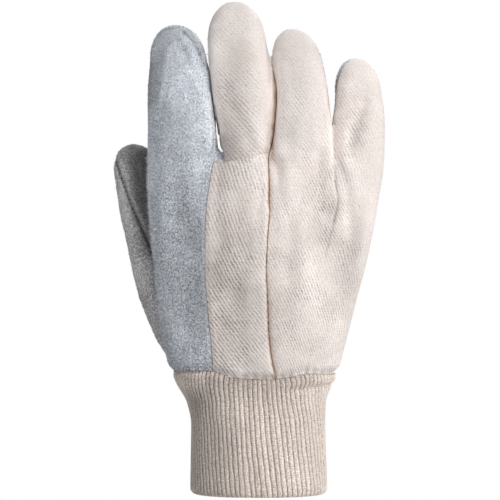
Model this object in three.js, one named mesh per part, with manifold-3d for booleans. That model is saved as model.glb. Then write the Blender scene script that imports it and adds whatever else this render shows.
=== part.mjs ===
// A right-hand work glove with a leather palm, a cotton drill back and a ribbed knit wrist, in its worn form.
// Millimetres. The origin is the centre of the wrist opening, +Z runs up to the fingertips, the back of the
// hand faces -Y, the palm faces +Y, and the thumb is on the -X side.
import * as THREE from "three";
import { mergeVertices } from "three/addons/utils/BufferGeometryUtils.js";
import Module from "manifold-3d";

const wasm = await Module();
wasm.setup();

// Driving dimensions
const WALL = 1.6; // split leather and lined cotton drill
const KNIT_WALL = 2.0; // rib knit, at half the height of its ribs
const SEAM_GAP = 0.3; // between two pieces that are sewn together
const TUCK = 4.0; // how far the middle finger's cloth runs in under the back panel
const SIDE_SEAM_DEPTH = 2.0; // the side seam lies this far to the palm side of the hand's middle
const CURL_FROM = 162; // the fingers bend towards the palm above this height
const CURL_LENGTH = 80;
const CURL_REACH = 7.0;
const RIB_COUNT = 70;
const RIB_HEIGHT = 0.9; // from the groove to the crest of a rib
const FAR = 300; // well outside the glove
const HAND_ROOM_RUN = 10; // how far the room inside the hand runs on past the hand's lowest section
const WRIST_ROOM_RUN = 5; // and the room inside the wrist past either end of the wrist
const DOME_STEPS = 3;
const MERGE_WITHIN = 1e-4;

// How many sides a section has outside and inside, and the exponent of its curve: 2 is an ellipse
const limbShape = { outer: 18, inner: 12, squareness: 2.15 };
const palmShape = { outer: 36, inner: 24, squareness: 2.6 };
const cuffShape = { outer: RIB_COUNT * 2, inner: 24, squareness: 2.2 };

// Sections: height, thumb side, little finger side, back of the hand, palm side
const sections = {
  palm: [
    { z: 55, left: -42.0, right: 38.0, back: -21.5, front: 21.7 },
    { z: 63, left: -45.0, right: 40.4, back: -22.8, front: 22.7 },
    { z: 73, left: -47.5, right: 43.4, back: -22.3, front: 22.4 },
    { z: 87, left: -49.5, right: 46.9, back: -20.9, front: 21.7 },
    { z: 102, left: -51.2, right: 50.8, back: -19.9, front: 21.1 },
    { z: 117, left: -52.6, right: 54.8, back: -18.8, front: 20.5 },
    { z: 132, left: -54.1, right: 58.0, back: -17.6, front: 19.6 },
    { z: 147, left: -54.9, right: 60.7, back: -16.0, front: 18.4 },
    { z: 160, left: -55.2, right: 62.4, back: -13.6, front: 16.2 },
    { z: 169, left: -54.0, right: 62.0, back: -9.5, front: 12.5 },
    { z: 174, left: -50.0, right: 58.0, back: -5.0, front: 7.5 },
  ],
  index: [
    { z: 97, left: -46.5, right: -27.0, back: -11.5, front: 12.0 },
    { z: 134, left: -54.0, right: -25.4, back: -14.4, front: 14.6 },
    { z: 149, left: -55.2, right: -24.7, back: -15.6, front: 16.2 },
    { z: 163, left: -55.7, right: -22.9, back: -14.9, front: 16.2 },
    { z: 176, left: -56.1, right: -21.0, back: -13.9, front: 15.7 },
    { z: 205, left: -56.0, right: -24.2, back: -12.6, front: 15.0 },
    { z: 220, left: -54.9, right: -26.2, back: -11.6, front: 14.4 },
  ],
  middle: [
    { z: 127, left: -22.0, right: 2.0, back: -10.0, front: 14.0 },
    { z: 155, left: -21.4, right: 5.0, back: -13.8, front: 17.0 },
    { z: 171, left: -19.3, right: 6.1, back: -14.4, front: 17.0 },
    { z: 183, left: -19.9, right: 6.8, back: -14.2, front: 16.8 },
    { z: 200, left: -23.0, right: 8.1, back: -13.8, front: 16.2 },
    { z: 220, left: -25.5, right: 6.3, back: -13.2, front: 15.4 },
    { z: 228, left: -26.0, right: 4.2, back: -12.7, front: 15.0 },
  ],
  ring: [
    { z: 97, left: 11.0, right: 32.0, back: -15.0, front: 10.0 },
    { z: 129, left: 7.0, right: 37.0, back: -17.6, front: 13.0 },
    { z: 146, left: 6.6, right: 39.3, back: -17.6, front: 16.0 },
    { z: 169, left: 6.9, right: 37.2, back: -16.0, front: 16.6 },
    { z: 185, left: 7.9, right: 36.3, back: -14.9, front: 16.1 },
    { z: 201, left: 9.1, right: 35.6, back: -14.0, front: 15.6 },
    { z: 210, left: 8.5, right: 34.3, back: -13.4, front: 15.2 },
    { z: 218, left: 7.3, right: 32.9, back: -12.8, front: 14.8 },
  ],
  little: [
    { z: 97, left: 35.0, right: 46.0, back: -10.0, front: 10.0 },
    { z: 134, left: 38.6, right: 58.4, back: -12.8, front: 13.2 },
    { z: 148, left: 40.2, right: 60.9, back: -13.8, front: 14.4 },
    { z: 160, left: 39.2, right: 62.9, back: -13.2, front: 14.6 },
    { z: 172, left: 37.8, right: 64.0, back: -12.6, front: 14.6 },
    { z: 184, left: 37.4, right: 64.3, back: -12.1, front: 14.5 },
    { z: 203, left: 39.2, right: 62.6, back: -11.2, front: 13.7 },
  ],
  // the inner back panel stands proud of the finger that comes out from under its top edge
  knuckle: [
    { z: 92, left: -25.0, right: 3.0, back: -16.0, front: 4.0 },
    { z: 122, left: -27.2, right: 4.8, back: -18.4, front: 4.0 },
    { z: 145, left: -26.6, right: 5.6, back: -18.3, front: 4.0 },
    { z: 158, left: -24.3, right: 5.7, back: -17.6, front: 4.0 },
    { z: 168, left: -21.8, right: 5.9, back: -16.9, front: 4.0 },
    { z: 179, left: -20.4, right: 6.2, back: -16.4, front: 4.0 },
  ],
  thumb: [
    { z: 57, left: -35.3, right: -16.1, back: 6.0, front: 17.0 },
    { z: 72.5, left: -49.4, right: -14.1, back: 3.0, front: 27.5 },
    { z: 86.5, left: -56.5, right: -19.3, back: 3.4, front: 33.0 },
    { z: 101.5, left: -62.3, right: -25.4, back: 5.0, front: 37.5 },
    { z: 116, left: -66.1, right: -31.6, back: 8.4, front: 41.2 },
    { z: 130, left: -69.1, right: -37.1, back: 13.2, front: 44.6 },
    { z: 145.5, left: -72.6, right: -42.1, back: 18.2, front: 47.5 },
    { z: 160, left: -74.9, right: -46.4, back: 21.4, front: 49.3 },
  ],
  cuff: [
    { z: 0, left: -33.0, right: 33.3, back: -22.4, front: 22.4 },
    { z: 2.5, left: -34.2, right: 34.4, back: -23.4, front: 23.4 },
    { z: 35, left: -33.8, right: 33.5, back: -22.7, front: 22.7 },
    { z: 46, left: -35.9, right: 33.8, back: -22.6, front: 22.6 },
    { z: 55, left: -40.9, right: 36.8, back: -21.9, front: 22.0 },
    { z: 67, left: -46.3, right: 41.6, back: -21.3, front: 21.6 },
  ],
};

// The main dents in the back of the glove: each runs from one place to another
const dents = [
  { x: -11.9, z: 100, toX: -5.8, toZ: 65, reach: 6, depth: 1.7 }, // low in the inner back panel
  { x: -13, z: 160, toX: -9, toZ: 125, reach: 7, depth: 1.1 }, // below the middle finger
  { x: 28.7, z: 170, toX: 34, toZ: 143, reach: 5, depth: 1.9 }, // at the base of the ring finger
  { x: 53, z: 195, toX: 41.5, toZ: 181, reach: 4, depth: 1.3 }, // across the little finger
  { x: -5.3, z: 171, toX: -10, toZ: 193, reach: 6, depth: 1.2 }, // at the base of the middle finger
  { x: -37.3, z: 220, toX: -28, toZ: 200, reach: 4, depth: 1.1 }, // along the index finger
  { x: 46.5, z: 133, toX: 44, toZ: 101, reach: 7, depth: 1.6 }, // below the little finger
  { x: 16, z: 125, toX: 13.5, toZ: 79, reach: 8, depth: 0.9 }, // beside the centre seam
];

// The top of the dome that closes a limb
const tips = {
  index: { x: -42.4, y: 3.0, z: 238.8 },
  middle: { x: -12.4, y: 2.0, z: 251.0 },
  ring: { x: 17.0, y: 2.0, z: 236.8 },
  little: { x: 49.6, y: 2.0, z: 221.6 },
  thumb: { x: -65.6, y: 36.0, z: 178.8 },
};

// Seams that run up the glove: where each lies at a height
const leatherSeam = [
  { z: 47, x: -22.7 },
  { z: 67, x: -23.1 },
  { z: 93, x: -25.3 },
  { z: 113, x: -26.8 },
  { z: 134, x: -26.8 },
  { z: 149, x: -25.8 },
  { z: 157, x: -24.3 },
  { z: 169, x: -20.3 },
  { z: 180, x: -20.1 },
  { z: 191, x: -21.7 },
  { z: 206, x: -23.7 },
  { z: 220, x: -25.6 },
  { z: 228, x: -26.4 },
];
const centreSeam = [
  { z: 47, x: 8.0 },
  { z: 63, x: 7.4 },
  { z: 82, x: 5.4 },
  { z: 102, x: 4.4 },
  { z: 128, x: 5.6 },
  { z: 139, x: 5.9 },
  { z: 157, x: 5.7 },
  { z: 171, x: 6.3 },
  { z: 190, x: 7.7 },
  { z: 201, x: 8.4 },
  { z: 211, x: 8.0 },
  { z: 220, x: 6.6 },
  { z: 228, x: 5.8 },
];
const thumbSeam = [
  { z: 47, x: -44.8 },
  { z: 63, x: -46.3 },
  { z: 87, x: -50.6 },
  { z: 102, x: -52.0 },
  { z: 115, x: -53.0 },
  { z: 125, x: -56.2 },
  { z: 135, x: -60.6 },
  { z: 145.5, x: -65.4 },
  { z: 158, x: -70.4 },
  { z: 170, x: -74.6 },
  { z: 184, x: -79.0 },
];

// Seams that run across it: how high each lies at a place
const cuffSeam = [
  { x: -44, z: 61.8 },
  { x: -37, z: 63.1 },
  { x: -24, z: 63.1 },
  { x: -18, z: 61.3 },
  { x: -12, z: 59.5 },
  { x: 4, z: 58.7 },
  { x: 16, z: 59.8 },
  { x: 24, z: 61.5 },
  { x: 40, z: 60.7 },
];
const fingerBaseSeam = [
  { x: -30, z: 167.8 },
  { x: -16, z: 167.9 },
  { x: -7, z: 169.5 },
  { x: 1, z: 171.7 },
  { x: 12, z: 174.3 },
];

// Where the palm's leather reaches round to the back beside a fingertip
const wraps = [
  { x: -31, z: 224, reachX: 6, reachZ: 18, depth: 8.0 },
  { x: 33, z: 221, reachX: 7, reachZ: 20, depth: 7.0 },
  { x: 42, z: 215, reachX: 7, reachZ: 16, depth: 7.5 },
];

const curl = (z) => CURL_REACH * (Math.max(0, z - CURL_FROM) / CURL_LENGTH) ** 2;

const sideSeam = (x, z) => {
  const reach = ({ x: centreX, z: centreZ, reachX, reachZ, depth }) =>
    depth * Math.exp(-(((x - centreX) / reachX) ** 2) - ((z - centreZ) / reachZ) ** 2);
  return SIDE_SEAM_DEPTH + curl(z) - wraps.reduce((sum, wrap) => sum + reach(wrap), 0);
};

// How far the dents press a place on the back of the glove in towards the palm
function dentAt(x, z) {
  const press = ({ x: fromX, z: fromZ, toX, toZ, reach, depth }) => {
    const run = new THREE.Vector2(toX - fromX, toZ - fromZ);
    const away = new THREE.Vector2(x - fromX, z - fromZ);
    const along = THREE.MathUtils.clamp(away.dot(run) / run.lengthSq(), 0, 1);
    return depth * Math.exp(-((away.addScaledVector(run, -along).length() / reach) ** 2));
  };
  return dents.reduce((sum, dent) => sum + press(dent), 0);
}

// Rings of points, and the closed bodies that run through them

const signedPower = (value, power) => Math.sign(value) * Math.abs(value) ** power;

function ringOf({ z, left, right, back, front }, count, squareness, lift = () => 0) {
  return Array.from({ length: count }, (_, i) => {
    const angle = (2 * Math.PI * i) / count;
    const halfWidth = (right - left) / 2 + lift(i);
    const halfDepth = (front - back) / 2 + lift(i);
    const x = (left + right) / 2 + halfWidth * signedPower(Math.cos(angle), 2 / squareness);
    const y = (back + front) / 2 + halfDepth * signedPower(Math.sin(angle), 2 / squareness);
    const facesBack = Math.max(0, -Math.sin(angle));
    return new THREE.Vector3(x, y + curl(z) + facesBack * dentAt(x, z), z);
  });
}

const shrunk = (row, inset) => ({
  z: row.z,
  left: row.left + inset,
  right: row.right - inset,
  back: row.back + inset,
  front: row.front - inset,
});

// The rows that round a limb off above its last section, along a quarter of an ellipse
function domeRows(last, tip, inset) {
  return Array.from({ length: DOME_STEPS }, (_, i) => {
    const angle = ((i + 1) / (DOME_STEPS + 1)) * (Math.PI / 2);
    const rise = Math.sin(angle);
    const size = Math.cos(angle);
    const x = THREE.MathUtils.lerp((last.left + last.right) / 2, tip.x, rise);
    const y = THREE.MathUtils.lerp((last.back + last.front) / 2, tip.y, rise);
    const z = THREE.MathUtils.lerp(last.z, tip.z - inset, rise);
    const halfWidth = ((last.right - last.left) / 2) * size;
    const halfDepth = ((last.front - last.back) / 2) * size;
    return { z, left: x - halfWidth, right: x + halfWidth, back: y - halfDepth, front: y + halfDepth };
  });
}

function solidFrom(geometry) {
  const bare = geometry.clone();
  bare.deleteAttribute("normal");
  bare.deleteAttribute("uv");
  const merged = mergeVertices(bare, MERGE_WITHIN);
  const vertProperties = merged.attributes.position.array;
  const triVerts = new Uint32Array(merged.index.array);
  return new wasm.Manifold(new wasm.Mesh({ numProp: 3, vertProperties, triVerts }));
}

const middleOf = (ring) =>
  ring.reduce((sum, p) => sum.add(p), new THREE.Vector3()).multiplyScalar(1 / ring.length);

// A closed body through rings, from the lowest to the highest, with a fan of faces at either end
function loft(rings, top = middleOf(rings.at(-1))) {
  const sides = rings[0].length;
  const lastRow = (rings.length - 1) * sides;
  const points = rings.flat();
  const faces = [];
  for (let row = 0; row + 1 < rings.length; row++) {
    for (let i = 0; i < sides; i++) {
      const a = row * sides + i;
      const b = row * sides + ((i + 1) % sides);
      faces.push(a, b, b + sides, a, b + sides, a + sides);
    }
  }
  const bottomPoint = points.push(middleOf(rings[0])) - 1;
  const topPoint = points.push(top) - 1;
  for (let i = 0; i < sides; i++) {
    const next = (i + 1) % sides;
    faces.push(bottomPoint, next, i, topPoint, lastRow + i, lastRow + next);
  }
  const geometry = new THREE.BufferGeometry().setFromPoints(points);
  geometry.setIndex(faces);
  return solidFrom(geometry);
}

// A limb of the hand, made smaller all round by an inset
function limb(name, inset, shape = limbShape) {
  const sides = inset > 0 ? shape.inner : shape.outer;
  const rows = sections[name].map((row) => shrunk(row, inset));
  const tip = tips[name];
  if (!tip) return loft(rows.map((row) => ringOf(row, sides, shape.squareness)));
  const rings = [...rows, ...domeRows(rows.at(-1), tip, inset)].map((row) =>
    ringOf(row, sides, shape.squareness),
  );
  return loft(rings, new THREE.Vector3(tip.x, tip.y + curl(tip.z), tip.z - inset));
}

const union = (solids) => solids.reduce((sum, solid) => sum.add(solid));

const handBody = (inset) =>
  union([
    limb("palm", inset, palmShape),
    ...["index", "middle", "ring", "little"].map((name) => limb(name, inset)),
  ]);

// The room inside the palm runs on down past its lowest section, so that the hand is open at the wrist
function wristRoom() {
  const first = shrunk(sections.palm[0], WALL);
  const rows = [{ ...first, z: first.z - HAND_ROOM_RUN }, first, shrunk(sections.palm[1], WALL)];
  return loft(rows.map((row) => ringOf(row, palmShape.inner, palmShape.squareness)));
}

// Regions that part the skin into its pieces: prisms that run through the glove from back to palm

const halfGap = SEAM_GAP / 2;
const corner = (x, z) => new THREE.Vector2(x, z);
const shifted = (seam, dx, dz) => seam.map(({ x, z }) => corner(x + dx, z + dz));

function prism(outline) {
  const geometry = new THREE.ExtrudeGeometry(new THREE.Shape(outline), {
    depth: 2 * FAR,
    bevelEnabled: false,
  });
  geometry.rotateX(Math.PI / 2);
  geometry.translate(0, FAR, 0);
  return solidFrom(geometry);
}

const leftOf = (seam) =>
  prism([
    corner(-FAR, -FAR),
    corner(seam[0].x - halfGap, -FAR),
    ...shifted(seam, -halfGap, 0),
    corner(seam.at(-1).x - halfGap, FAR),
    corner(-FAR, FAR),
  ]);

const rightOf = (seam) =>
  prism([
    corner(FAR, FAR),
    corner(seam.at(-1).x + halfGap, FAR),
    ...shifted(seam, halfGap, 0).reverse(),
    corner(seam[0].x + halfGap, -FAR),
    corner(FAR, -FAR),
  ]);

const above = (seam, drop = 0) =>
  prism([
    corner(-FAR, FAR),
    corner(-FAR, seam[0].z + halfGap - drop),
    ...shifted(seam, 0, halfGap - drop),
    corner(FAR, seam.at(-1).z + halfGap - drop),
    corner(FAR, FAR),
  ]);

const below = (seam) =>
  prism([
    corner(FAR, -FAR),
    corner(FAR, seam.at(-1).z - halfGap),
    ...shifted(seam, 0, -halfGap).reverse(),
    corner(-FAR, seam[0].z - halfGap),
    corner(-FAR, -FAR),
  ]);

// Everything on the palm side of the side seam, or everything on its back side
const sheet = { left: -85, right: 80, low: 40, high: 265, columns: 32, rows: 32 };

function sideOfSeam(facesPalm) {
  const { left, right, low, high, columns, rows } = sheet;
  const near = facesPalm ? halfGap : -halfGap;
  const far = facesPalm ? FAR : -FAR;
  const points = [];
  for (const yAt of [(x, z) => sideSeam(x, z) + near, () => far]) {
    for (let row = 0; row <= rows; row++) {
      for (let column = 0; column <= columns; column++) {
        const x = THREE.MathUtils.lerp(left, right, column / columns);
        const z = THREE.MathUtils.lerp(low, high, row / rows);
        points.push(new THREE.Vector3(x, yAt(x, z), z));
      }
    }
  }
  const layer = points.length / 2;
  const at = (row, column) => row * (columns + 1) + column;
  const faces = [];
  const quad = (a, b, c, d) => faces.push(...(facesPalm ? [a, b, c, a, c, d] : [b, a, c, c, a, d]));
  const wall = (a, b) => quad(a, a + layer, b + layer, b);
  for (let row = 0; row < rows; row++) {
    for (let column = 0; column < columns; column++) {
      const corners = [at(row, column), at(row, column + 1), at(row + 1, column + 1), at(row + 1, column)];
      quad(...corners);
      quad(...corners.reverse().map((corner) => corner + layer));
    }
    wall(at(row, columns), at(row + 1, columns));
    wall(at(row + 1, 0), at(row, 0));
  }
  for (let column = 0; column < columns; column++) {
    wall(at(0, column), at(0, column + 1));
    wall(at(rows, column + 1), at(rows, column));
  }
  const geometry = new THREE.BufferGeometry().setFromPoints(points);
  geometry.setIndex(faces);
  return solidFrom(geometry);
}

// The skins of the hand and of the thumb, hollow, before they are parted
const thumbRoom = limb("thumb", WALL);
const handRoom = handBody(WALL).add(wristRoom());
const handOutside = handBody(0);
const handSkin = handOutside.subtract(handRoom).subtract(thumbRoom);
const panelSkin = handOutside
  .add(limb("knuckle", 0))
  .subtract(handRoom.add(limb("knuckle", WALL)))
  .subtract(thumbRoom);
const thumbSkin = limb("thumb", 0).subtract(thumbRoom).subtract(handBody(-SEAM_GAP));

const palmSide = sideOfSeam(true);
const backSide = sideOfSeam(false);
const aboveCuff = above(cuffSeam);

// The wrist: a tube of rib knit whose outside is a row of crests and grooves
function ribbedTube() {
  const lift = (i) => (i % 2 ? RIB_HEIGHT / 2 : -RIB_HEIGHT / 2);
  const outside = sections.cuff.map((row) => ringOf(row, cuffShape.outer, cuffShape.squareness, lift));
  const rows = sections.cuff.map((row) => shrunk(row, KNIT_WALL));
  const [first, last] = [rows[0], rows.at(-1)];
  const lowest = { ...first, z: first.z - WRIST_ROOM_RUN };
  const highest = { ...last, z: last.z + WRIST_ROOM_RUN };
  const room = [lowest, ...rows.slice(1, -1), highest].map((row) =>
    ringOf(row, cuffShape.inner, cuffShape.squareness),
  );
  return loft(outside).subtract(loft(room));
}

// The finger's cloth above its seam, and the part of it that is tucked in under the back panel
const fingerCloth = handSkin.intersect(above(fingerBaseSeam));
const tuckedCloth = handSkin
  .intersect(above(fingerBaseSeam, TUCK))
  .intersect(limb("knuckle", WALL + SEAM_GAP));

const solids = {
  palm_leather: handSkin.intersect(palmSide).intersect(aboveCuff),
  index_leather: handSkin.intersect(backSide).intersect(leftOf(leatherSeam)).intersect(aboveCuff),
  thumb_inner_leather: thumbSkin.intersect(rightOf(thumbSeam)).intersect(aboveCuff),
  thumb_outer_leather: thumbSkin.intersect(leftOf(thumbSeam)).intersect(aboveCuff),
  middle_finger_back: fingerCloth
    .add(tuckedCloth)
    .intersect(backSide)
    .intersect(rightOf(leatherSeam))
    .intersect(leftOf(centreSeam)),
  inner_back_panel: panelSkin
    .intersect(backSide)
    .intersect(rightOf(leatherSeam))
    .intersect(leftOf(centreSeam))
    .intersect(below(fingerBaseSeam))
    .intersect(aboveCuff),
  outer_back_panel: handSkin.intersect(backSide).intersect(rightOf(centreSeam)).intersect(aboveCuff),
  knit_wrist: ribbedTube().intersect(below(cuffSeam)),
};

// Colours from the materials: grey split leather, natural cotton and knit
const finish = (color, roughness) => new THREE.MeshStandardMaterial({ color, roughness, metalness: 0 });
const finishes = {
  palm_leather: finish(0xa4a9b0, 0.95),
  index_leather: finish(0xaab0b7, 0.95),
  thumb_inner_leather: finish(0x94959a, 0.95),
  thumb_outer_leather: finish(0x94959a, 0.95),
  middle_finger_back: finish(0xe6dcd6, 0.9),
  inner_back_panel: finish(0xdfd3cb, 0.9),
  outer_back_panel: finish(0xe9e0da, 0.9),
  knit_wrist: finish(0xd4c6ba, 0.92),
};

// Where two limbs graze each other a cut leaves slivers, so only the largest body of each piece is kept
const largestOf = (solid) =>
  solid.decompose().reduce((best, part) => (part.volume() > best.volume() ? part : best));

function meshOf(name, solid) {
  const { numProp, numVert, vertProperties, triVerts } = largestOf(solid).getMesh();
  const positions = new Float32Array(numVert * 3);
  for (let i = 0; i < numVert; i++) {
    positions.set(vertProperties.subarray(i * numProp, i * numProp + 3), i * 3);
  }
  const geometry = new THREE.BufferGeometry();
  geometry.setAttribute("position", new THREE.BufferAttribute(positions, 3));
  geometry.setIndex(new THREE.BufferAttribute(triVerts, 1));
  geometry.computeVertexNormals();
  const mesh = new THREE.Mesh(geometry, finishes[name]);
  mesh.name = name;
  return mesh;
}

const glove = new THREE.Group();
glove.name = "work_glove";
for (const [name, solid] of Object.entries(solids)) glove.add(meshOf(name, solid));

export default glove;
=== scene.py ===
# %% [markdown]
# # A leather palm work glove, built in Blender
#
# The real glove is sewn from flat pieces: split leather for the palm, the thumb and the index finger, cotton
# drill for the back, and a tube of rib knit for the wrist. It is shown filled, as a hand fills it. The CAD
# model gives the size and place of every piece, and this notebook gives each piece its fine surface: folds,
# seams, nap, weave and ribs.
#
# Blender works in metres here, with the fingers up (+Z), the back of the hand towards the camera (-Y) and
# the thumb to the left (-X). The tables below are in millimetres, because a pattern cutter thinks in them.

# %% Load the fixed frame
import math

import bpy
import numpy as np
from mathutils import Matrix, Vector, noise


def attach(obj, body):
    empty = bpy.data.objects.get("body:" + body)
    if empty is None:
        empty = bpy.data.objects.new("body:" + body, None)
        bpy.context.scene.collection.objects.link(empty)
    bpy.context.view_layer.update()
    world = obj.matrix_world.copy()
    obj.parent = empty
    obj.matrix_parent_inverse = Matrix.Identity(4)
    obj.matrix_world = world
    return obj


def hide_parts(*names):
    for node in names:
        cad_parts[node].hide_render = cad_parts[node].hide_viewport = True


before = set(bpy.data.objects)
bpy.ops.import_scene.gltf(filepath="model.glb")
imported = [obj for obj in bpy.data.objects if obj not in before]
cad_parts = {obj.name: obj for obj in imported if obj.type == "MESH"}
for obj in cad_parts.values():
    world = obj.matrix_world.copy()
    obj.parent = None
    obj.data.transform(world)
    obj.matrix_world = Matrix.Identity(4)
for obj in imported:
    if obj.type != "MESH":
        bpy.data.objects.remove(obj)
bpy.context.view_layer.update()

MM = 0.001
scene = bpy.context.scene
print("CAD nodes:", sorted(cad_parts))

# %% [markdown]
# ## The camera
#
# A catalogue photo of a garment is taken from a few steps away with a long lens, so that nothing is
# distorted. The camera could be placed by eye, but here it follows from three facts: the photo's frame is
# square, one of its pixels covers about half a millimetre of the glove, and the lens is long. The distance
# comes out of these.

# %% Set up the camera
PIXEL = 0.508 * MM
PHOTO_SIDE = 500
MIDDLE_PIXEL = (250, 250)
WRIST_PIXEL = (258.5, 493)
LENS = 150
SENSOR = 36

view_width = PHOTO_SIDE * PIXEL
distance = view_width / 2 / math.tan(math.atan(SENSOR / 2 / LENS))
aim_x = (MIDDLE_PIXEL[0] - WRIST_PIXEL[0]) * PIXEL
aim_z = (WRIST_PIXEL[1] - MIDDLE_PIXEL[1]) * PIXEL

camera_data = bpy.data.cameras.new("camera")
camera_data.lens = LENS
camera_data.sensor_width = SENSOR
camera_data.clip_start = 0.05
camera = bpy.data.objects.new("camera", camera_data)
scene.collection.objects.link(camera)
camera.location = (aim_x, -distance, aim_z)
camera.rotation_euler = (math.radians(90), 0, 0)
scene.camera = camera
print("camera distance in m:", round(distance, 3))

# %% [markdown]
# ## Node graphs
#
# The surroundings and the materials are small graphs of nodes. They could be wired up socket by socket, but
# a helper that adds a node, sets it and links it in one line lets a graph read like a recipe.

# %% A helper for node graphs
def add(tree, kind, inputs=None, output=0, **settings):
    """A new node: settings are its own, and inputs are values or the outputs of other nodes."""
    made = tree.nodes.new(kind)
    for name, value in settings.items():
        setattr(made, name, value)
    for name, value in (inputs or {}).items():
        if isinstance(value, bpy.types.NodeSocket):
            tree.links.new(value, made.inputs[name])
        else:
            made.inputs[name].default_value = value
    return made.outputs[output]


# %% [markdown]
# ## The studio
#
# The photo has a pure white ground and soft light, a little stronger from the right. A lamp close to the
# glove would give hard shadows, so each light is a large panel. The surroundings are white to the camera but
# dim to the glove, so that the panels alone shape its folds.

# %% Set up the lights
LIGHT_DISTANCE = 1.6
AMBIENT = 0.04
WARM, COOL, NEUTRAL = (1.0, 0.99, 0.975), (0.97, 0.985, 1.0), (1, 1, 1)
# degrees to the right of the camera and above the table, the panel's width in metres, watts and colour
lamps = {
    "key": (30, 37, 0.8, 18, WARM),
    "side": (74, 20, 0.6, 12, WARM),
    "fill": (-57, 55, 0.8, 7.2, COOL),
    "back": (180, 40, 0.8, 15, NEUTRAL),
}


def area_light(name, turn, lift, size, watts, color):
    """A round panel that faces the middle of the glove."""
    light = bpy.data.lights.new(name, "AREA")
    light.shape = "DISK"
    light.size = size
    light.energy = watts
    light.color = color
    panel = bpy.data.objects.new(name, light)
    scene.collection.objects.link(panel)
    turn, lift = math.radians(turn), math.radians(lift)
    away = Vector((math.sin(turn) * math.cos(lift), -math.cos(turn) * math.cos(lift), math.sin(lift)))
    panel.location = Vector((aim_x, 0, aim_z)) + LIGHT_DISTANCE * away
    panel.rotation_euler = away.to_track_quat("Z", "Y").to_euler()


def surroundings(tree):
    """Full white where the camera looks past the glove, and a dim white to everything else."""
    tree.nodes.clear()
    full, dim = (add(tree, "ShaderNodeBackground", {"Color": (1, 1, 1, 1), "Strength": strength})
                 for strength in (1.0, AMBIENT))
    camera_ray = add(tree, "ShaderNodeLightPath", output="Is Camera Ray")
    chosen = add(tree, "ShaderNodeMixShader", {0: camera_ray, 1: dim, 2: full})
    tree.links.new(chosen, tree.nodes.new("ShaderNodeOutputWorld").inputs["Surface"])


for name, lamp in lamps.items():
    area_light(name, *lamp)
world = bpy.data.worlds.new("studio")
world.use_nodes = True
surroundings(world.node_tree)
scene.world = world
scene.view_settings.view_transform = "Standard"
print("lights:", ", ".join(lamps))

# %% [markdown]
# ## The floor
#
# The glove is held up as on a hand, so the floor lies well below it. A white surface would still look grey
# between the lamps. So the camera sees the floor as pure white, and only the light sees the pale surface.

# %% Lay the floor
FLOOR_Z = -0.10
FLOOR_REACH = 12
FLOOR_CORNERS = ((-1, -1), (1, -1), (1, 1), (-1, 1))


def new_material(name, roughness, sheen, sheen_roughness=0.5):
    material = bpy.data.materials.new(name)
    material.use_nodes = True
    shader = material.node_tree.nodes["Principled BSDF"]
    settings = {"Roughness": roughness, "Specular IOR Level": 0.2, "Sheen Weight": sheen,
                "Sheen Roughness": sheen_roughness}
    for name, value in settings.items():
        shader.inputs[name].default_value = value
    return material, material.node_tree, shader


def pale_floor():
    """White to the camera, as the photo's ground is, and a plain pale surface to the light."""
    material, tree, shader = new_material("pale_floor", 0.9, 0.0)
    shader.inputs["Base Color"].default_value = (0.7, 0.7, 0.7, 1)
    white = add(tree, "ShaderNodeEmission")
    camera_ray = add(tree, "ShaderNodeLightPath", output="Is Camera Ray")
    mixed = add(tree, "ShaderNodeMixShader", {0: camera_ray, 1: shader.outputs[0], 2: white})
    tree.links.new(mixed, tree.nodes["Material Output"].inputs["Surface"])
    return material


floor_mesh = bpy.data.meshes.new("floor")
floor_points = [(x * FLOOR_REACH, y * FLOOR_REACH, FLOOR_Z) for x, y in FLOOR_CORNERS]
floor_mesh.from_pydata(floor_points, [], [(0, 1, 2, 3)])
floor_mesh.materials.append(pale_floor())
floor = bpy.data.objects.new("floor", floor_mesh)
scene.collection.objects.link(floor)
print("floor at", FLOOR_Z, "m")

# %% [markdown]
# ## The form of the hand inside
#
# A filled glove takes the form of the hand: a flat palm, four fingers and a thumb. Each is a limb with a
# rounded section that changes along its length. One could sculpt it, but a table of sections is easier to
# check against the photo: for a height it gives the left and right edge as the camera sees them, and how far
# the limb reaches to the back and to the palm side. A smooth curve runs through the values of each column.

# %% Sections of the hand
# the exponent of a section's curve: 2 is an ellipse, more is squarer, as where fingers press on each other
SQUARENESS = {"palm": 2.6, "index": 2.8, "middle": 3.0, "ring": 3.1, "little": 2.4, "knuckle": 2.3,
              "thumb": 2.15}
# the fingers curl towards the palm from this height on, and by this much after this length
CURL_FROM, CURL_LENGTH, CURL_REACH = 162, 80, 7.0

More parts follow.
